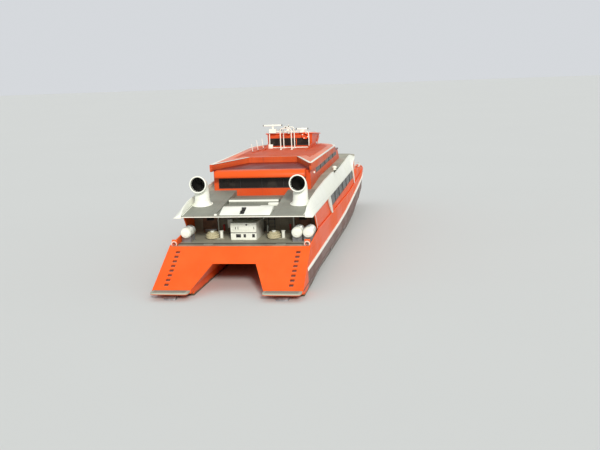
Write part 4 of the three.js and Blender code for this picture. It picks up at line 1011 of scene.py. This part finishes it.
class FERRY_OT_hull_fittings(bpy.types.Operator):
    """Adds cappings, spray rails, footholds, outlets and the fittings of the stern steps"""

    bl_idname = "ferry.hull_fittings"
    bl_label = "Hull fittings"

    def execute(self, context):
        radius = context.scene.ferry_sizes.capping
        dress_both(pipe(smooth_line(SHEER, inward=0.055), radius), "sheer_capping", "orange")
        # The spray rails take the lower side's mauve, painted shade below the fender
        dress_both(pipe(smooth_line(CHINE), 0.035), "spray_rail", "lower_side")
        dress(block((4.575, -4.9, 2.66), (4.785, 4.9, 2.688), 0.012), "transom_kerb", "kerb")
        dress_both([ring(at(4.745, 4.675, 2.78), AHEAD, 0.175, 0.045),
                    ring(at(5.055, 4.675, 2.78), AHEAD, 0.15, 0.03)], "mooring_lead_ring", "lead")
        slope = math.atan2(TRANSOM["rise"], TRANSOM["run"])
        out = Vector((-math.sin(slope), 0, math.cos(slope)))
        up = Vector((math.cos(slope), 0, math.sin(slope)))
        shade_floors, lips = [], []
        for i in range(8):
            z = 2.37 - 1.57 * i / 7
            t = TRANSOM["t"] + (z - TRANSOM["z"]) / TRANSOM["rise"] * TRANSOM["run"]
            middle = at(t, 4.19 - 0.01 * i / 7, z)
            for parts, low, high, raised, width in ((shade_floors, -0.132, 0.132, -0.05, 0.285),
                                                    (lips, -0.135, -0.115, 0.003, 0.3)):
                ends = [middle + up * shift + out * raised for shift in (low, high)]
                parts.append(strap(*ends, width, 0.012, out))
        # The dark floors in the pockets are painted shade
        dress_both(shade_floors, "foothold_floors", "foothold")
        # The lips get the faded orange with painted sunlight on it
        dress_both(lips, "foothold_lips", "salmon")
        rims, opening_shades = [], []
        for t, z in ((5.2, 0.34), (7.4, 0.4), (7.8, 0.4), (13.5, 0.55), (21.0, 0.7)):
            side = 4.9 + 0.13 * z / along(CHINE, t, 2)
            rims.append(ring(at(t, side, z), TO_PORT, 0.07, 0.016, 24, 8))
            ends = at(t, side - 0.05, z), at(t, side + 0.006, z)
            opening_shades.append(rod(*ends, 0.062, sides=20, rounding=0.003))
        dress_both(rims, "outlet_rims", "steel")
        # Black discs in the outlets are painted shade of the holes
        dress_both(opening_shades, "outlet_holes", "rubber")
        treads = [block((t, 2.62, 0.54), (t + 0.05, 4.8, 0.553), 0.004)
                  for t in (0.1, 0.22, 0.34, 0.46, 0.58)]
        dress_both(treads, "step_treads", "tread")
        centre = at(*JET)
        bolts = [ring(centre + Vector((-0.012, 0, 0)), AHEAD, 0.395, 0.022)]
        for i in range(12):
            turn = math.tau * i / 12
            spot = centre + Vector((-0.01, 0.34 * math.cos(turn), 0.34 * math.sin(turn)))
            bolts.append(rod(spot, spot + Vector((-0.03, 0, 0)), 0.024, sides=6, rounding=0.003))
        dress_both(bolts, "jet_flange", "steel")
        anodes = [block((t, 3.65, -1.5 - 0.1 * k), (t + 0.35, 3.83, -1.4 - 0.1 * k), 0.03)
                  for k, t in enumerate((3.2, 5.6))]
        dress_both(anodes, "keel_anodes", "steel")
        return {"FINISHED"}


RAFT_Y = {"port": 4.42, "starboard": -4.42, "starboard_inner": -3.62}
DRUM = {"radius": 0.38, "z": 3.18}
LOCKER_RIB_Y = (-0.4, 0.14, 0.62, 1.16)
WALL_T = 10.1
POST_T = 9.85
WALL_LAMPS = ((-0.49, 3.62), (2.45, 4.25), (-2.1, 4.25), (1.1, 4.25))


class FERRY_OT_aft_deck(bpy.types.Operator):
    """Adds straps, locker panels, door frames, wall fittings, posts and hatches below the aft roof"""

    bl_idname = "ferry.aft_deck"
    bl_label = "Aft deck"

    def execute(self, context):
        z = DRUM["z"]
        for name, y in RAFT_Y.items():
            straps = [ring(at(t, y, z), AHEAD, DRUM["radius"] + 0.003, 0.014, 40, 8)
                      for t in (6.98, 7.24, 7.46, 7.72)]
            straps += [post(t, y, z + 0.37, z + 0.43, 0.035, 0.025, rounding=0.006) for t in (7.11, 7.59)]
            dress(straps, f"raft_straps_{name}", "steel")
            caps = [bar(t, t + 0.025, y, z, aft, fore, 28, 0.006)
                    for t, aft, fore in ((6.585, 0.2, 0.24), (8.09, 0.24, 0.2))]
            caps.append(block((6.56, y - 0.06, z - 0.2), (6.6, y + 0.06, z - 0.1), 0.012))
            dress(caps, f"raft_caps_{name}", "white")
        reach = DRUM["radius"] + 0.008
        lashings = [strap(at(t, side, DECK_Z), at(t, side, z), 0.04, 0.008, TO_PORT) for t in (6.98, 7.72)
                    for y in RAFT_Y.values() for side in (y - reach, y + reach)]
        dress(lashings, "raft_lashings", "kerb")
        self.locker()
        self.doors()
        self.wall()
        posts = []
        for y in (2.84, -2.84):
            posts += [post(POST_T, y, DECK_Z, 4.92, 0.045, sides=16),
                      post(POST_T, y, DECK_Z, DECK_Z + 0.03, 0.08, 0.07, 16, 0.006),
                      post(POST_T, y, 4.87, 4.91, 0.07, 0.09, 16, 0.006)]
        dress(posts, "roof_posts", "white")
        sleeves = []
        for t, y, z in BITTS:
            sleeves += [post(t, y, z + 0.06, z + 0.55, 0.119, sides=28),
                        post(t, y, z + 0.535, z + 0.594, 0.155, 0.148, 28, 0.012)]
        dress(sleeves, "bitt_posts", "white")
        trim = [at(8.98, 4.835, DECK_Z + 0.02), at(7.5, 4.835, 4.4)]
        dress_both(line_of(trim, 0.07, 0.016, TO_PORT), "side_wall_trim", "white")
        hatches, handles = [], []
        z = DECK_Z
        for t, y in ((5.6, 2.6), (5.6, -2.6), (6.9, 0.6)):
            hatches.append(block((t, y - 0.34, z - 0.01), (t + 0.62, y + 0.34, z + 0.018), 0.012))
            handles += [bar(t + 0.2, t + 0.4, side, z + 0.02, 0.014) for side in (y - 0.2, y + 0.2)]
        dress(hatches, "deck_hatches", "deck")
        dress(handles, "hatch_handles", "steel")
        return {"FINISHED"}

    def locker(self):
        frames = [block((7.53, -0.54, z), (7.56, 1.32, z + 0.05), 0.008) for z in (2.52, 3.07, 3.63)]
        frames += [block((7.53, y, z), (7.56, y + 0.045, z + high), 0.008)
                   for y in (-0.545, 1.28) for z, high in ((2.52, 0.47), (3.07, 0.6))]
        frames.append(block((7.535, 0.14, 3.1), (7.558, 0.17, 3.64), 0.004))
        dress(frames, "locker_frames", "white")
        # Dark plates on the vent openings are painted shade; the long strip is the dark joint between the
        # panels
        opening_shades = [block((7.562, low - 0.002, 2.682), (7.572, high + 0.002, 2.928), 0.003)
                 for low, high in ((-0.43, -0.23), (0.22, 0.4), (0.59, 0.95))]
        opening_shades.append(block((7.556, -0.55, 3.0), (7.565, 1.33, 3.04), 0.003))
        dress(opening_shades, "locker_vents", "dark_metal")
        bow = ((7.545, 3.29), (7.5, 3.31), (7.5, 3.43), (7.545, 3.45))
        grips = [pipe([at(t, y, z) for t, z in bow], 0.02) for y in (-0.39, 0.77, 0.96)]
        grips.append(block((7.515, 0.1, 3.55), (7.55, 0.21, 3.66), 0.012))
        dress(grips, "locker_grips", "dark_metal")
        ribs = [block((7.6, y, 3.738), (8.72, y + 0.05, 3.756), 0.008) for y in LOCKER_RIB_Y]
        dress(ribs, "lid_ribs", "white", body="locker_lid")
        latches = [block((7.49, y - 0.05, low), (end, y + 0.05, 3.754), 0.006)
                   for y in (-0.2, 0.98) for low, end in ((3.68, 7.512), (3.742, 7.62))]
        dress(latches, "lid_latches", "white", body="locker_lid")
        fixed = [block((8.86, y, 3.686), (9.9, y + 0.05, 3.706), 0.008) for y in LOCKER_RIB_Y]
        dress(fixed, "locker_top_ribs", "white")

    def doors(self):
        inner, outer, foot, top = 2.91, 4.09, 2.58, 4.55
        frame = [block((10.085, y, foot), (WALL_T, y + 0.06, top), 0.004)
                 for y in (inner, outer - 0.06)]
        frame.append(block((10.085, inner, top + 0.025), (WALL_T, outer, top + 0.08), 0.004))
        dress_both(frame, "door_frame", "brown")
        for side, name in ((1, "port"), (-1, "starboard")):
            pane = [at(10.043, side * y, z) for y, z in ((3.24, 3.52), (3.76, 3.52), (3.76, 4.36),
                                                         (3.24, 4.36))]
            gasket = line_of([*pane, pane[0]], 0.05, 0.016, (-1, 0, 0))
            dress(gasket, f"door_gasket_{name}", "rubber", body=f"aft_door_{name}")
            low, high = sorted((side * 3.23, side * 3.77))
            glass = block((10.06, low, 3.51), (10.085, high, 4.37), 0.004)
            dress(glass, f"door_pane_{name}", "glass", body=f"aft_door_{name}")
            low, high = sorted((side * 3.06, side * 3.94))
            kick = block((10.038, low, 2.62), (10.047, high, 2.84), 0.003)
            dress(kick, f"door_kick_plate_{name}", "steel", body=f"aft_door_{name}")

    def wall(self):
        battens = [block((10.07, y - 0.025, DECK_Z + 0.02), (10.101, y + 0.025, 4.64), 0.006)
                   for y in (-2.45, -1.75, 0.0, 0.75, 1.5, 2.2)]
        battens.append(block((10.06, -2.7, 3.45), (10.101, 2.7, 3.51), 0.008))
        dress(battens, "aft_wall_battens", "lining")
        louvres = []
        for i in range(9):
            z = 2.7 + 0.085 * i
            louvres.append(strap(at(10.06, -0.76, z), at(10.06, -0.16, z), 0.05, 0.008, (-0.7, 0, 0.7)))
        dress(louvres, "wall_louvres", "dark_metal")
        housings = [block((10.0, y - 0.12, z - 0.06), (WALL_T, y + 0.12, z + 0.06), 0.02)
                    for y, z in WALL_LAMPS]
        dress(housings, "wall_lamps", "white")
        lenses = [block((9.985, y - 0.09, z - 0.04), (10.002, y + 0.09, z + 0.04), 0.006)
                  for y, z in WALL_LAMPS]
        dress(lenses, "wall_lamp_lenses", "lens")
        boxes = [block((9.9, -0.95, 2.62), (WALL_T, -0.8, 3.14), 0.02),
                 block((9.88, 1.75, 2.95), (WALL_T, 2.15, 3.6), 0.025)]
        dress(boxes, "hose_boxes", "white")
        bottles = [post(9.98, y, 2.72, 3.2, 0.075, sides=20, rounding=0.03) for y in (2.45, -2.55)]
        dress(bottles, "extinguishers", "red")


class FERRY_OT_aft_roof(bpy.types.Operator):
    """Adds the edge lines, cowl rims, vent slats, small boxes and the painted shade in the aft roof's notch
    """

    bl_idname = "ferry.aft_roof"
    bl_label = "Aft roof"

    def execute(self, context):
        edge = block((5.838, -4.39, 4.445), (5.858, 4.39, 4.5), 0.006)
        dress(edge, "roof_edge_line", "white")
        border = strap(at(5.9, 4.33, along(ROOF_RAMP, 5.9) + 0.006),
                       at(9.2, 4.33, along(ROOF_RAMP, 9.2) + 0.006), 0.07, 0.014, UP)
        dress_both(border, "roof_border_line", "white")
        boxes = [block((5.86, 1.84, 4.5), (6.02, 2.02, 4.68), 0.02),
                 block((8.2, -1.5, 4.69), (8.45, -0.75, 4.86), 0.03),
                 block((8.9, -1.95, 4.73), (9.2, -1.2, 4.95), 0.03)]
        dress(boxes, "roof_boxes", "white")
        face = VENT_T + 0.002
        slats = [strap(at(face, -1.78, z), at(face, 1.78, z), 0.05, 0.01, (-0.8, 0, 0.6))
                 for z in (4.8, 4.86, 4.92)]
        dress(slats, "vent_slats", "roof")
        notch = [block((6.838, -0.08, 4.66), (6.848, 0.25, 4.985), 0.002),
                 block((5.95, -0.08, 4.646), (6.85, 0.25, 4.656), 0.002)]
        notch += [block((6.35, y, 4.652), (6.85, y + 0.008, 4.79), 0.002) for y in (-0.083, 0.246)]
        # Black sheets in the notch are painted shade
        dress(notch, "notch_lining", "rubber")
        self.cowls()
        return {"FINISHED"}

    def cowls(self):
        mouth = at(COWL["mouth"], COWL["y"], COWL["z"])
        tilt = Vector((-0.12, 0, 1))
        foot = at(COWL["t"], COWL["y"], along(ROOF_RAMP, COWL["t"]) + 0.02)
        rims = [ring(mouth, AHEAD, COWL["radius"], 0.05, 48, 12), ring(foot, tilt, 0.7, 0.02, 48, 8),
                ring(at(COWL["t"], COWL["y"], 5.3), UP, 0.545, 0.018, 48, 8)]
        rims.append(rod(foot - tilt * 0.01, foot + tilt * 0.012, 0.76, 0.755, 48, 0.004))
        for i in range(18):
            turn = math.tau * i / 18
            spot = foot + Vector((0.735 * math.cos(turn), 0.735 * math.sin(turn), 0.088 * math.cos(turn)))
            rims.append(rod(spot, spot + Vector((0, 0, 0.03)), 0.018, sides=6, rounding=0.002))
        dress_both(rims, "cowl_rims", "white")


SIDE_PANES = {"first": 15.15, "wide": 2.3583, "rake": 0.55, "y": 4.866}
UPPER_PANES = {"first": 17.505, "wide": 2.28, "y": 3.768}
CABIN_FRONT = {"foot": [(0, 34.1), (1.2, 34.1), (2.7, 33.7), (4.64, 31.9)],
               "head": [(0, 32.15), (1.2, 32.15), (2.7, 31.95), (4.64, 31.35)], "z": (3.3, 5.81)}
WHEEL_FRONT = {"foot": [(0, 28.0), (2, 28.0)], "head": [(0, 29.05), (2, 29.05)], "z": (7.4, 8.186)}


def front_at(front, y, z, out):
    """A point on a raked front, so far in front of its face."""
    low, high = front["z"]
    foot, head = (along(front[end], abs(y)) for end in ("foot", "head"))
    return at(foot + (head - foot) * (z - low) / (high - low) + out, y, z)


def front_bar(front, a, b, out, radius):
    """A thin round bar over a raked front, from a to b in y and z."""
    return rod(front_at(front, *a, out), front_at(front, *b, out), radius)


def sill_z(t):
    """The height of the foot of the main cabin's side windows."""
    return 3.6 + (t - 17.2) * 0.032


class FERRY_OT_glazing(bpy.types.Operator):
    """Adds the bars, sills and wipers of the cabin windows"""

    bl_idname = "ferry.glazing"
    bl_label = "Window bars"

    def execute(self, context):
        width = context.scene.ferry_sizes.window_bar
        panes = SIDE_PANES
        bars = []
        for i in range(1, 6):
            foot = panes["first"] + panes["wide"] * i
            ends = [at(foot - (z - 4.1) * panes["rake"], panes["y"], z)
                    for z in (sill_z(foot), along(FAIRING_FOOT, foot) - 0.1)]
            bars.append(strap(*ends, width, 0.02, TO_PORT))
        dress_both(bars, "side_window_bars", "rubber")
        sill = [at(t, panes["y"] - 0.004, sill_z(t) + 0.01) for t in (15.6, 20, 24, 28.6)]
        dress_both(pipe(sill, 0.022), "side_window_sill", "orange")
        upper = UPPER_PANES
        bars = []
        for i in range(4):
            t = upper["first"] + upper["wide"] * i
            bars.append(strap(at(t, upper["y"], 6.31 + (t - 15.15) * 0.0165), at(t - 0.06, upper["y"], 6.8),
                              0.06, 0.02, TO_PORT))
        dress_both(bars, "upper_window_bars", "rubber")
        aft = [strap(at(12.515, y, 5.56), at(12.515, y, 6.385), 0.05, 0.02, AHEAD)
               for y in (-3.35, -1.675, 0.0, 1.675, 3.35)]
        aft.append(strap(at(12.512, -3.38, 5.56), at(12.512, 3.38, 5.56), 0.05, 0.026, AHEAD))
        dress(aft, "upper_aft_window_bars", "rubber")
        front = [strap(*(front_at(CABIN_FRONT, y, z, 0.04) for z in (4.32, 5.48)), 0.16, 0.02, (1, 0, 0.5))
                 for y in (-2.75, -1.25, 0.0, 1.25, 2.75)]
        dress(front, "front_window_bars", "orange")
        wipers = []
        for y in (-1.9, -0.6, 0.6, 1.9):
            wipers += [front_bar(CABIN_FRONT, (y, 4.28), (y + 0.3, 4.95), 0.06, 0.014),
                       front_bar(CABIN_FRONT, (y + 0.3, 4.62), (y + 0.3, 5.3), 0.055, 0.011)]
        dress(wipers, "cabin_wipers", "dark_metal")
        upper_front = [strap(at(28.36, y, 6.14), at(27.69, y, 6.72), 0.14, 0.02, (0.66, 0, 0.76))
                       for y in (-1.7, 0.0, 1.7)]
        dress(upper_front, "upper_front_window_bars", "upper_orange")
        return {"FINISHED"}


CROWN_RIM = [(17.05, 2.04), (12.32, 3.82), (25.08, 3.82), (26.35, 3.57), (27.33, 3.02), (28.02, 2.16),
             (28.32, 1.05)]
CROWN_BAND = [(17.6, 3.45), (25.05, 3.45), (26.1, 3.25), (27.0, 2.75), (27.6, 2.0), (27.9, 1.0)]
CROWN_HORN = [(12.5, 3.76), (17.0, 2.08), (17.6, 2.4), (17.6, 3.74)]
CROWN_DECK = [(17.8, 2.53), (16.33, 3.1), (25.0, 3.09), (25.9, 2.9), (26.7, 2.45), (27.2, 1.75),
              (27.5, 0.9)]


def on_crown(outline, lift):
    """An outline in plan, a little above the top of the crown."""
    return [at(t, y, CROWN_Z + lift) for t, y in outline]


class FERRY_OT_upper_works(bpy.types.Operator):
    """Adds the crown's stripe and deck, visor lamps, vents and handrails"""

    bl_idname = "ferry.upper_works"
    bl_label = "Upper works"

    def execute(self, context):
        width = context.scene.ferry_sizes.stripe_width
        stripe = line_of(on_crown(CROWN_RIM, 0.007), width, 0.014, UP)
        dress_both(stripe, "crown_stripe", "white")
        # The band and the horn get the faded orange with painted sunlight on it
        band = line_of(on_crown(CROWN_BAND, 0.003), 0.5, 0.006, UP, 0.001)
        dress_both(band, "crown_band", "salmon")
        horn = slab(on_crown(CROWN_HORN, 0.0005), 0.0045, 2)
        dress_both(horn, "crown_horn", "salmon")
        outline = [*CROWN_DECK, *((t, -y) for t, y in reversed(CROWN_DECK))]
        dress(slab(on_crown(outline, 0.001), 0.009, 2), "crown_deck", "tan")
        lamps, lenses = [], []
        for y in (-2.9, -1.45, 0.0, 1.45, 2.9):
            lamps.append(post(12.25, y, 6.39, 6.355, 0.1, 0.09, 20, 0.006))
            lenses.append(post(12.25, y, 6.36, 6.345, 0.07, 0.065, 20, 0.004))
        dress(lamps, "visor_lamps", "dark_metal")
        dress(lenses, "visor_lamp_lenses", "lens")
        seam = [at(11.615, y, 6.5) for y in (-3.44, 3.44)]
        dress(strap(*seam, 0.03, 0.02, AHEAD), "visor_drip_rail", "upper_orange")
        t, y, z = 20.6, 4.42, 5.85
        vents = [post(t, y, z, z + 0.21, 0.12, sides=24),
                 post(t, y, z, z + 0.03, 0.17, sides=24, rounding=0.005),
                 dome(at(t, y, z + 0.21), 0.2, 0.55)]
        dress_both(vents, "side_deck_vents", "white")
        rails = []
        for t0, t1 in ((15.3, 17.9), (18.4, 21.0), (21.5, 24.1)):
            rails.append(pipe([at(t0, 3.8, 6.02), at(t0 + 0.04, 3.86, 6.02), at(t1 - 0.04, 3.86, 6.04),
                               at(t1, 3.8, 6.04)], 0.02))
        dress_both(rails, "side_handrails", "upper_orange")
        lamp = block((13.9, 3.75, 6.42), (14.1, 3.86, 6.56), 0.02)
        dress_both(lamp, "upper_side_lamps", "white")
        return {"FINISHED"}


class FERRY_OT_wheelhouse_fittings(bpy.types.Operator):
    """Adds window bars, wipers, rails, the horn, the searchlight and the lifebuoy"""

    bl_idname = "ferry.wheelhouse_fittings"
    bl_label = "Wheelhouse fittings"

    def execute(self, context):
        face = 24.366
        pane = [at(face, y, z) for y, z in ((-1.74, 7.62), (1.74, 7.62), (1.74, 8.22), (-1.74, 8.22))]
        gasket = line_of([*pane, pane[0]], 0.05, 0.02, AHEAD)
        dress(gasket, "wheelhouse_aft_gasket", "rubber")
        posts = [strap(at(face, y, 7.63), at(face, y, 8.21), 0.07, 0.018, AHEAD) for y in (-0.58, 0.58)]
        dress(posts, "wheelhouse_aft_bars", "upper_orange")
        bars = [strap(*(front_at(WHEEL_FRONT, y, z, 0.035) for z in (7.63, 8.11)), 0.055, 0.016,
                      (1, 0, -0.8)) for y in (-0.87, -0.295, 0.295, 0.87)]
        dress(bars, "wheelhouse_front_bars", "upper_orange")
        cheek = strap(at(27.0, 1.992, 7.62), at(28.2, 1.992, 8.14), 0.36, 0.014, TO_PORT)
        dress_both(cheek, "wheelhouse_cheek", "visor_orange")
        wipers = []
        for y in (-0.55, 0.05, 0.65):
            wipers += [front_bar(WHEEL_FRONT, (y, 8.13), (y - 0.12, 7.9), 0.06, 0.012),
                       front_bar(WHEEL_FRONT, (y - 0.12, 8.05), (y - 0.12, 7.7), 0.055, 0.01)]
        dress(wipers, "wheelhouse_wipers", "dark_metal")
        rails = []
        aft, fore = (8.6 - 0.089 * (t - 24.4) + 0.095 for t in (24.9, 27.9))
        for y in (1.72, -1.72):
            rails.append(pipe([at(24.9, y, aft), at(24.95, y, aft + 0.12), at(27.85, y, fore + 0.12),
                               at(27.9, y, fore)], 0.018))
        dress(rails, "roof_handrails", "white")
        edge = [at(24.235, -2.12, 8.648), at(24.235, 2.12, 8.648)]
        dress(strap(*edge, 0.03, 0.014, AHEAD), "roof_edge_trim", "upper_orange")
        horn = [bar(26.0, 26.0 + reach, y, 8.78, 0.025, 0.085, 24)
                for y, reach in ((-0.95, 0.5), (-0.75, 0.38))]
        horn.append(block((25.86, -1.02, 8.54), (26.04, -0.68, 8.83), 0.02))
        dress(horn, "horn", "white")
        lamp = [post(27.3, 0.7, 8.42, 8.62, 0.05, sides=16),
                bar(27.18, 27.44, 0.7, 8.7, 0.13, 0.15, 28, 0.01)]
        dress(lamp, "searchlight", "white")
        dress(bar(27.43, 27.455, 0.7, 8.7, 0.135, 0.12, 28, 0.004), "searchlight_lens", "lens")
        buoy = LIFEBUOY
        centre = at(buoy["t"], buoy["y"], buoy["z"])
        float_ring = ring(centre, AHEAD, buoy["radius"] - buoy["thick"], buoy["thick"], 40, 14)
        dress(float_ring, "lifebuoy", "buoy")
        hooks = []
        for a, b, face in (((0.085, 0.14), (0.085, 0.33), AHEAD), ((-0.08, 0.145), (0.085, 0.145), UP)):
            hooks += [strap(*(centre + Vector((ahead, y, up)) for ahead, up in (a, b)), 0.03, 0.014, face)
                      for y in (-0.12, 0.12)]
        dress(hooks, "lifebuoy_hooks", "steel")
        return {"FINISHED"}


class FERRY_OT_arch_fittings(bpy.types.Operator):
    """Adds floodlights, mast lamps, feet and caps to the pipe arch and the radars"""

    bl_idname = "ferry.arch_fittings"
    bl_label = "Arch fittings"

    def execute(self, context):
        lamps, lenses = [], []
        t = ARCH_T - 0.06
        for y, z in ((0.75, 8.98), (-0.45, 8.98), (0.0, 8.74)):
            lamps.append(block((t, y - 0.11, z - 0.08), (t + 0.14, y + 0.11, z + 0.08), 0.02))
            lenses.append(block((t - 0.012, y - 0.085, z - 0.06), (t + 0.002, y + 0.085, z + 0.06),
                                0.004))
        dress(lamps, "floodlights", "dark_metal")
        dress(lenses, "floodlight_lenses", "lens")
        feet = []
        for t, half in ((ARCH_T, 1.75), (22.6, 0.48), (24.0, 0.48)):
            for y in (-half, half):
                feet += [post(t, y, CROWN_Z + 0.002, CROWN_Z + 0.02, 0.11, 0.105, 20, 0.004),
                         post(t, y, CROWN_Z + 0.01, CROWN_Z + 0.09, 0.06, 0.05, 20, 0.004)]
        dress(feet, "arch_feet", "white")
        box = block((23.86, 1.45, CROWN_Z + 0.005), (24.0, 1.85, CROWN_Z + 0.36), 0.02)
        dress(box, "arch_box", "white")
        mast = [post(t, 0, 9.28, 9.36, 0.05, sides=16, rounding=0.004) for t in (24.0, 22.6)]
        mast.append(post(23.3, 0.19, 9.27, 9.31, 0.05, sides=16))
        dress(mast, "mast_lamp_bases", "dark_metal")
        lights = [post(t, 0, 9.36, 9.46, 0.045, sides=16, rounding=0.004) for t in (22.6, 24.0)]
        lights.append(dome(at(23.3, 0.19, 9.32), 0.11, 0.7))
        dress(lights, "mast_lamps", "lens")
        for name, y, wide, low in (("port", 1.42, 1.7, 9.3605), ("starboard", -1.2, 1.05, 9.0105)):
            body = f"radar_{name}_scanner"
            tips = [block((23.972, tip - 0.035, low - 0.004), (24.128, tip + 0.035, low + 0.124), 0.008)
                    for tip in (y - wide / 2 + 0.03, y + wide / 2 - 0.03)]
            dress(tips, f"radar_{name}_tips", "dark_metal", body=body)
            cap = post(ARCH_T, y, low + 0.118, low + 0.14, 0.075, 0.07, 20, 0.004)
            dress(cap, f"radar_{name}_cap", "white", body=body)
        low, high = CROWN_Z + 0.03, CROWN_Z + 0.14
        joints = [rod(at(t, y, low), at(t - 0.006, y + 0.016, high), 0.04, 0.032, 16, 0.004)
                  for t, y in ((20.46, 2.45), (21.7, 2.28), (23.0, 2.1))]
        dress(joints, "aerial_bases", "dark_metal")
        return {"FINISHED"}


BOW_BULWARK = [(31.2, 3.36), (34.0, 3.5), (36.0, 3.66), (38.2, 3.84), (37.4, 3.98), (36.75, 4.1),
               (35.7, 4.28), (34.4, 4.42), (32.9, 4.5), (31.2, 4.55)]


class FERRY_OT_fore_deck(bpy.types.Operator):
    """Adds the raised plates at the bow and the fore deck's hatches, vents, cleats and chain"""

    bl_idname = "ferry.fore_deck"
    bl_label = "Fore deck"

    def execute(self, context):
        z = FOREDECK_Z
        bulwark = slab([at(t, 4.78, height) for t, height in BOW_BULWARK], 0.05, 1, 0.012)
        dress_both(bulwark, "bow_bulwark", "orange")
        hatches, grips = [], []
        for t, y in ((34.35, 1.6), (34.35, -1.6), (36.6, 1.1), (36.6, -1.1)):
            hatches += [block((t, y - 0.33, z - 0.01), (t + 0.66, y + 0.33, z + 0.03), 0.012),
                        block((t + 0.04, y - 0.29, z + 0.02), (t + 0.62, y + 0.29, z + 0.055), 0.012)]
            bow = ((0.2, 0.05), (0.22, 0.09), (0.44, 0.09), (0.46, 0.05))
            grips.append(pipe([at(t + ahead, y, z + above) for ahead, above in bow], 0.012))
        dress(hatches, "fore_hatches", "deck")
        dress(grips, "fore_hatch_grips", "steel")
        vents = []
        for y in (3.7, -3.7):
            vents += [post(34.9, y, z - 0.01, z + 0.3, 0.09, sides=20),
                      dome(at(34.9, y, z + 0.3), 0.16, 0.5)]
        dress(vents, "fore_vents", "white")
        cleats = []
        for t in (33.4, 38.2):
            for y in (3.9, -3.9) if t < 38 else (3.4, -3.4):
                cleats += [bar(t - 0.2, t + 0.2, y, z + 0.13, 0.03, rounding=0.006),
                           post(t - 0.07, y, z - 0.01, z + 0.13, 0.028),
                           post(t + 0.07, y, z - 0.01, z + 0.13, 0.028)]
        dress(cleats, "fore_cleats", "steel")
        links = []
        for i in range(16):
            spot = at(35.55 + i * 0.11, 0, z + 0.06)
            links.append(ring(spot, UP if i % 2 else TO_PORT, 0.05, 0.014, 16, 6))
        dress(links, "anchor_chain", "steel")
        stopper = [block((37.25, -0.14, z - 0.01), (37.5, 0.14, z + 0.16), 0.02),
                   rod(at(37.37, -0.2, z + 0.12), at(37.37, 0.2, z + 0.12), 0.03)]
        dress(stopper, "chain_stopper", "dark_metal")
        motor = [rod(at(35.2, 0.47, z + 0.33), at(35.2, 0.83, z + 0.33), 0.15, 0.14, 28, 0.012),
                 block((35.1, 0.55, z - 0.01), (35.3, 0.75, z + 0.2), 0.012)]
        dress(motor, "windlass_motor", "dark_metal")
        return {"FINISHED"}


PIECES = [FERRY_OT_stage, FERRY_OT_mooring_lines, FERRY_OT_finishes, FERRY_OT_hull_fittings,
          FERRY_OT_aft_deck, FERRY_OT_aft_roof, FERRY_OT_glazing, FERRY_OT_upper_works,
          FERRY_OT_wheelhouse_fittings, FERRY_OT_arch_fittings, FERRY_OT_fore_deck]


class FERRY_PT_panel(bpy.types.Panel):
    """Lists the steps that build the boat"""

    bl_idname = "FERRY_PT_panel"
    bl_label = "Ferry"
    bl_space_type = "VIEW_3D"
    bl_region_type = "UI"
    bl_category = "Ferry"

    def draw(self, context):
        for step in PIECES:
            self.layout.operator(step.bl_idname)


GROUPS = {"ferry_colours": FerryColours, "ferry_sizes": FerrySizes, "ferry_stage": FerryStage}


def register():
    for kind in [*GROUPS.values(), *PIECES, FERRY_PT_panel]:
        bpy.utils.register_class(kind)
    for name, kind in GROUPS.items():
        setattr(bpy.types.Scene, name, bpy.props.PointerProperty(type=kind))


def unregister():
    for name in GROUPS:
        delattr(bpy.types.Scene, name)
    for kind in reversed([*GROUPS.values(), *PIECES, FERRY_PT_panel]):
        bpy.utils.unregister_class(kind)


def main():
    register()
    make_materials(bpy.context.scene.ferry_colours)
    for step in PIECES:
        getattr(bpy.ops.ferry, step.bl_idname.split(".")[1])()


if __name__ == "__main__":
    main()
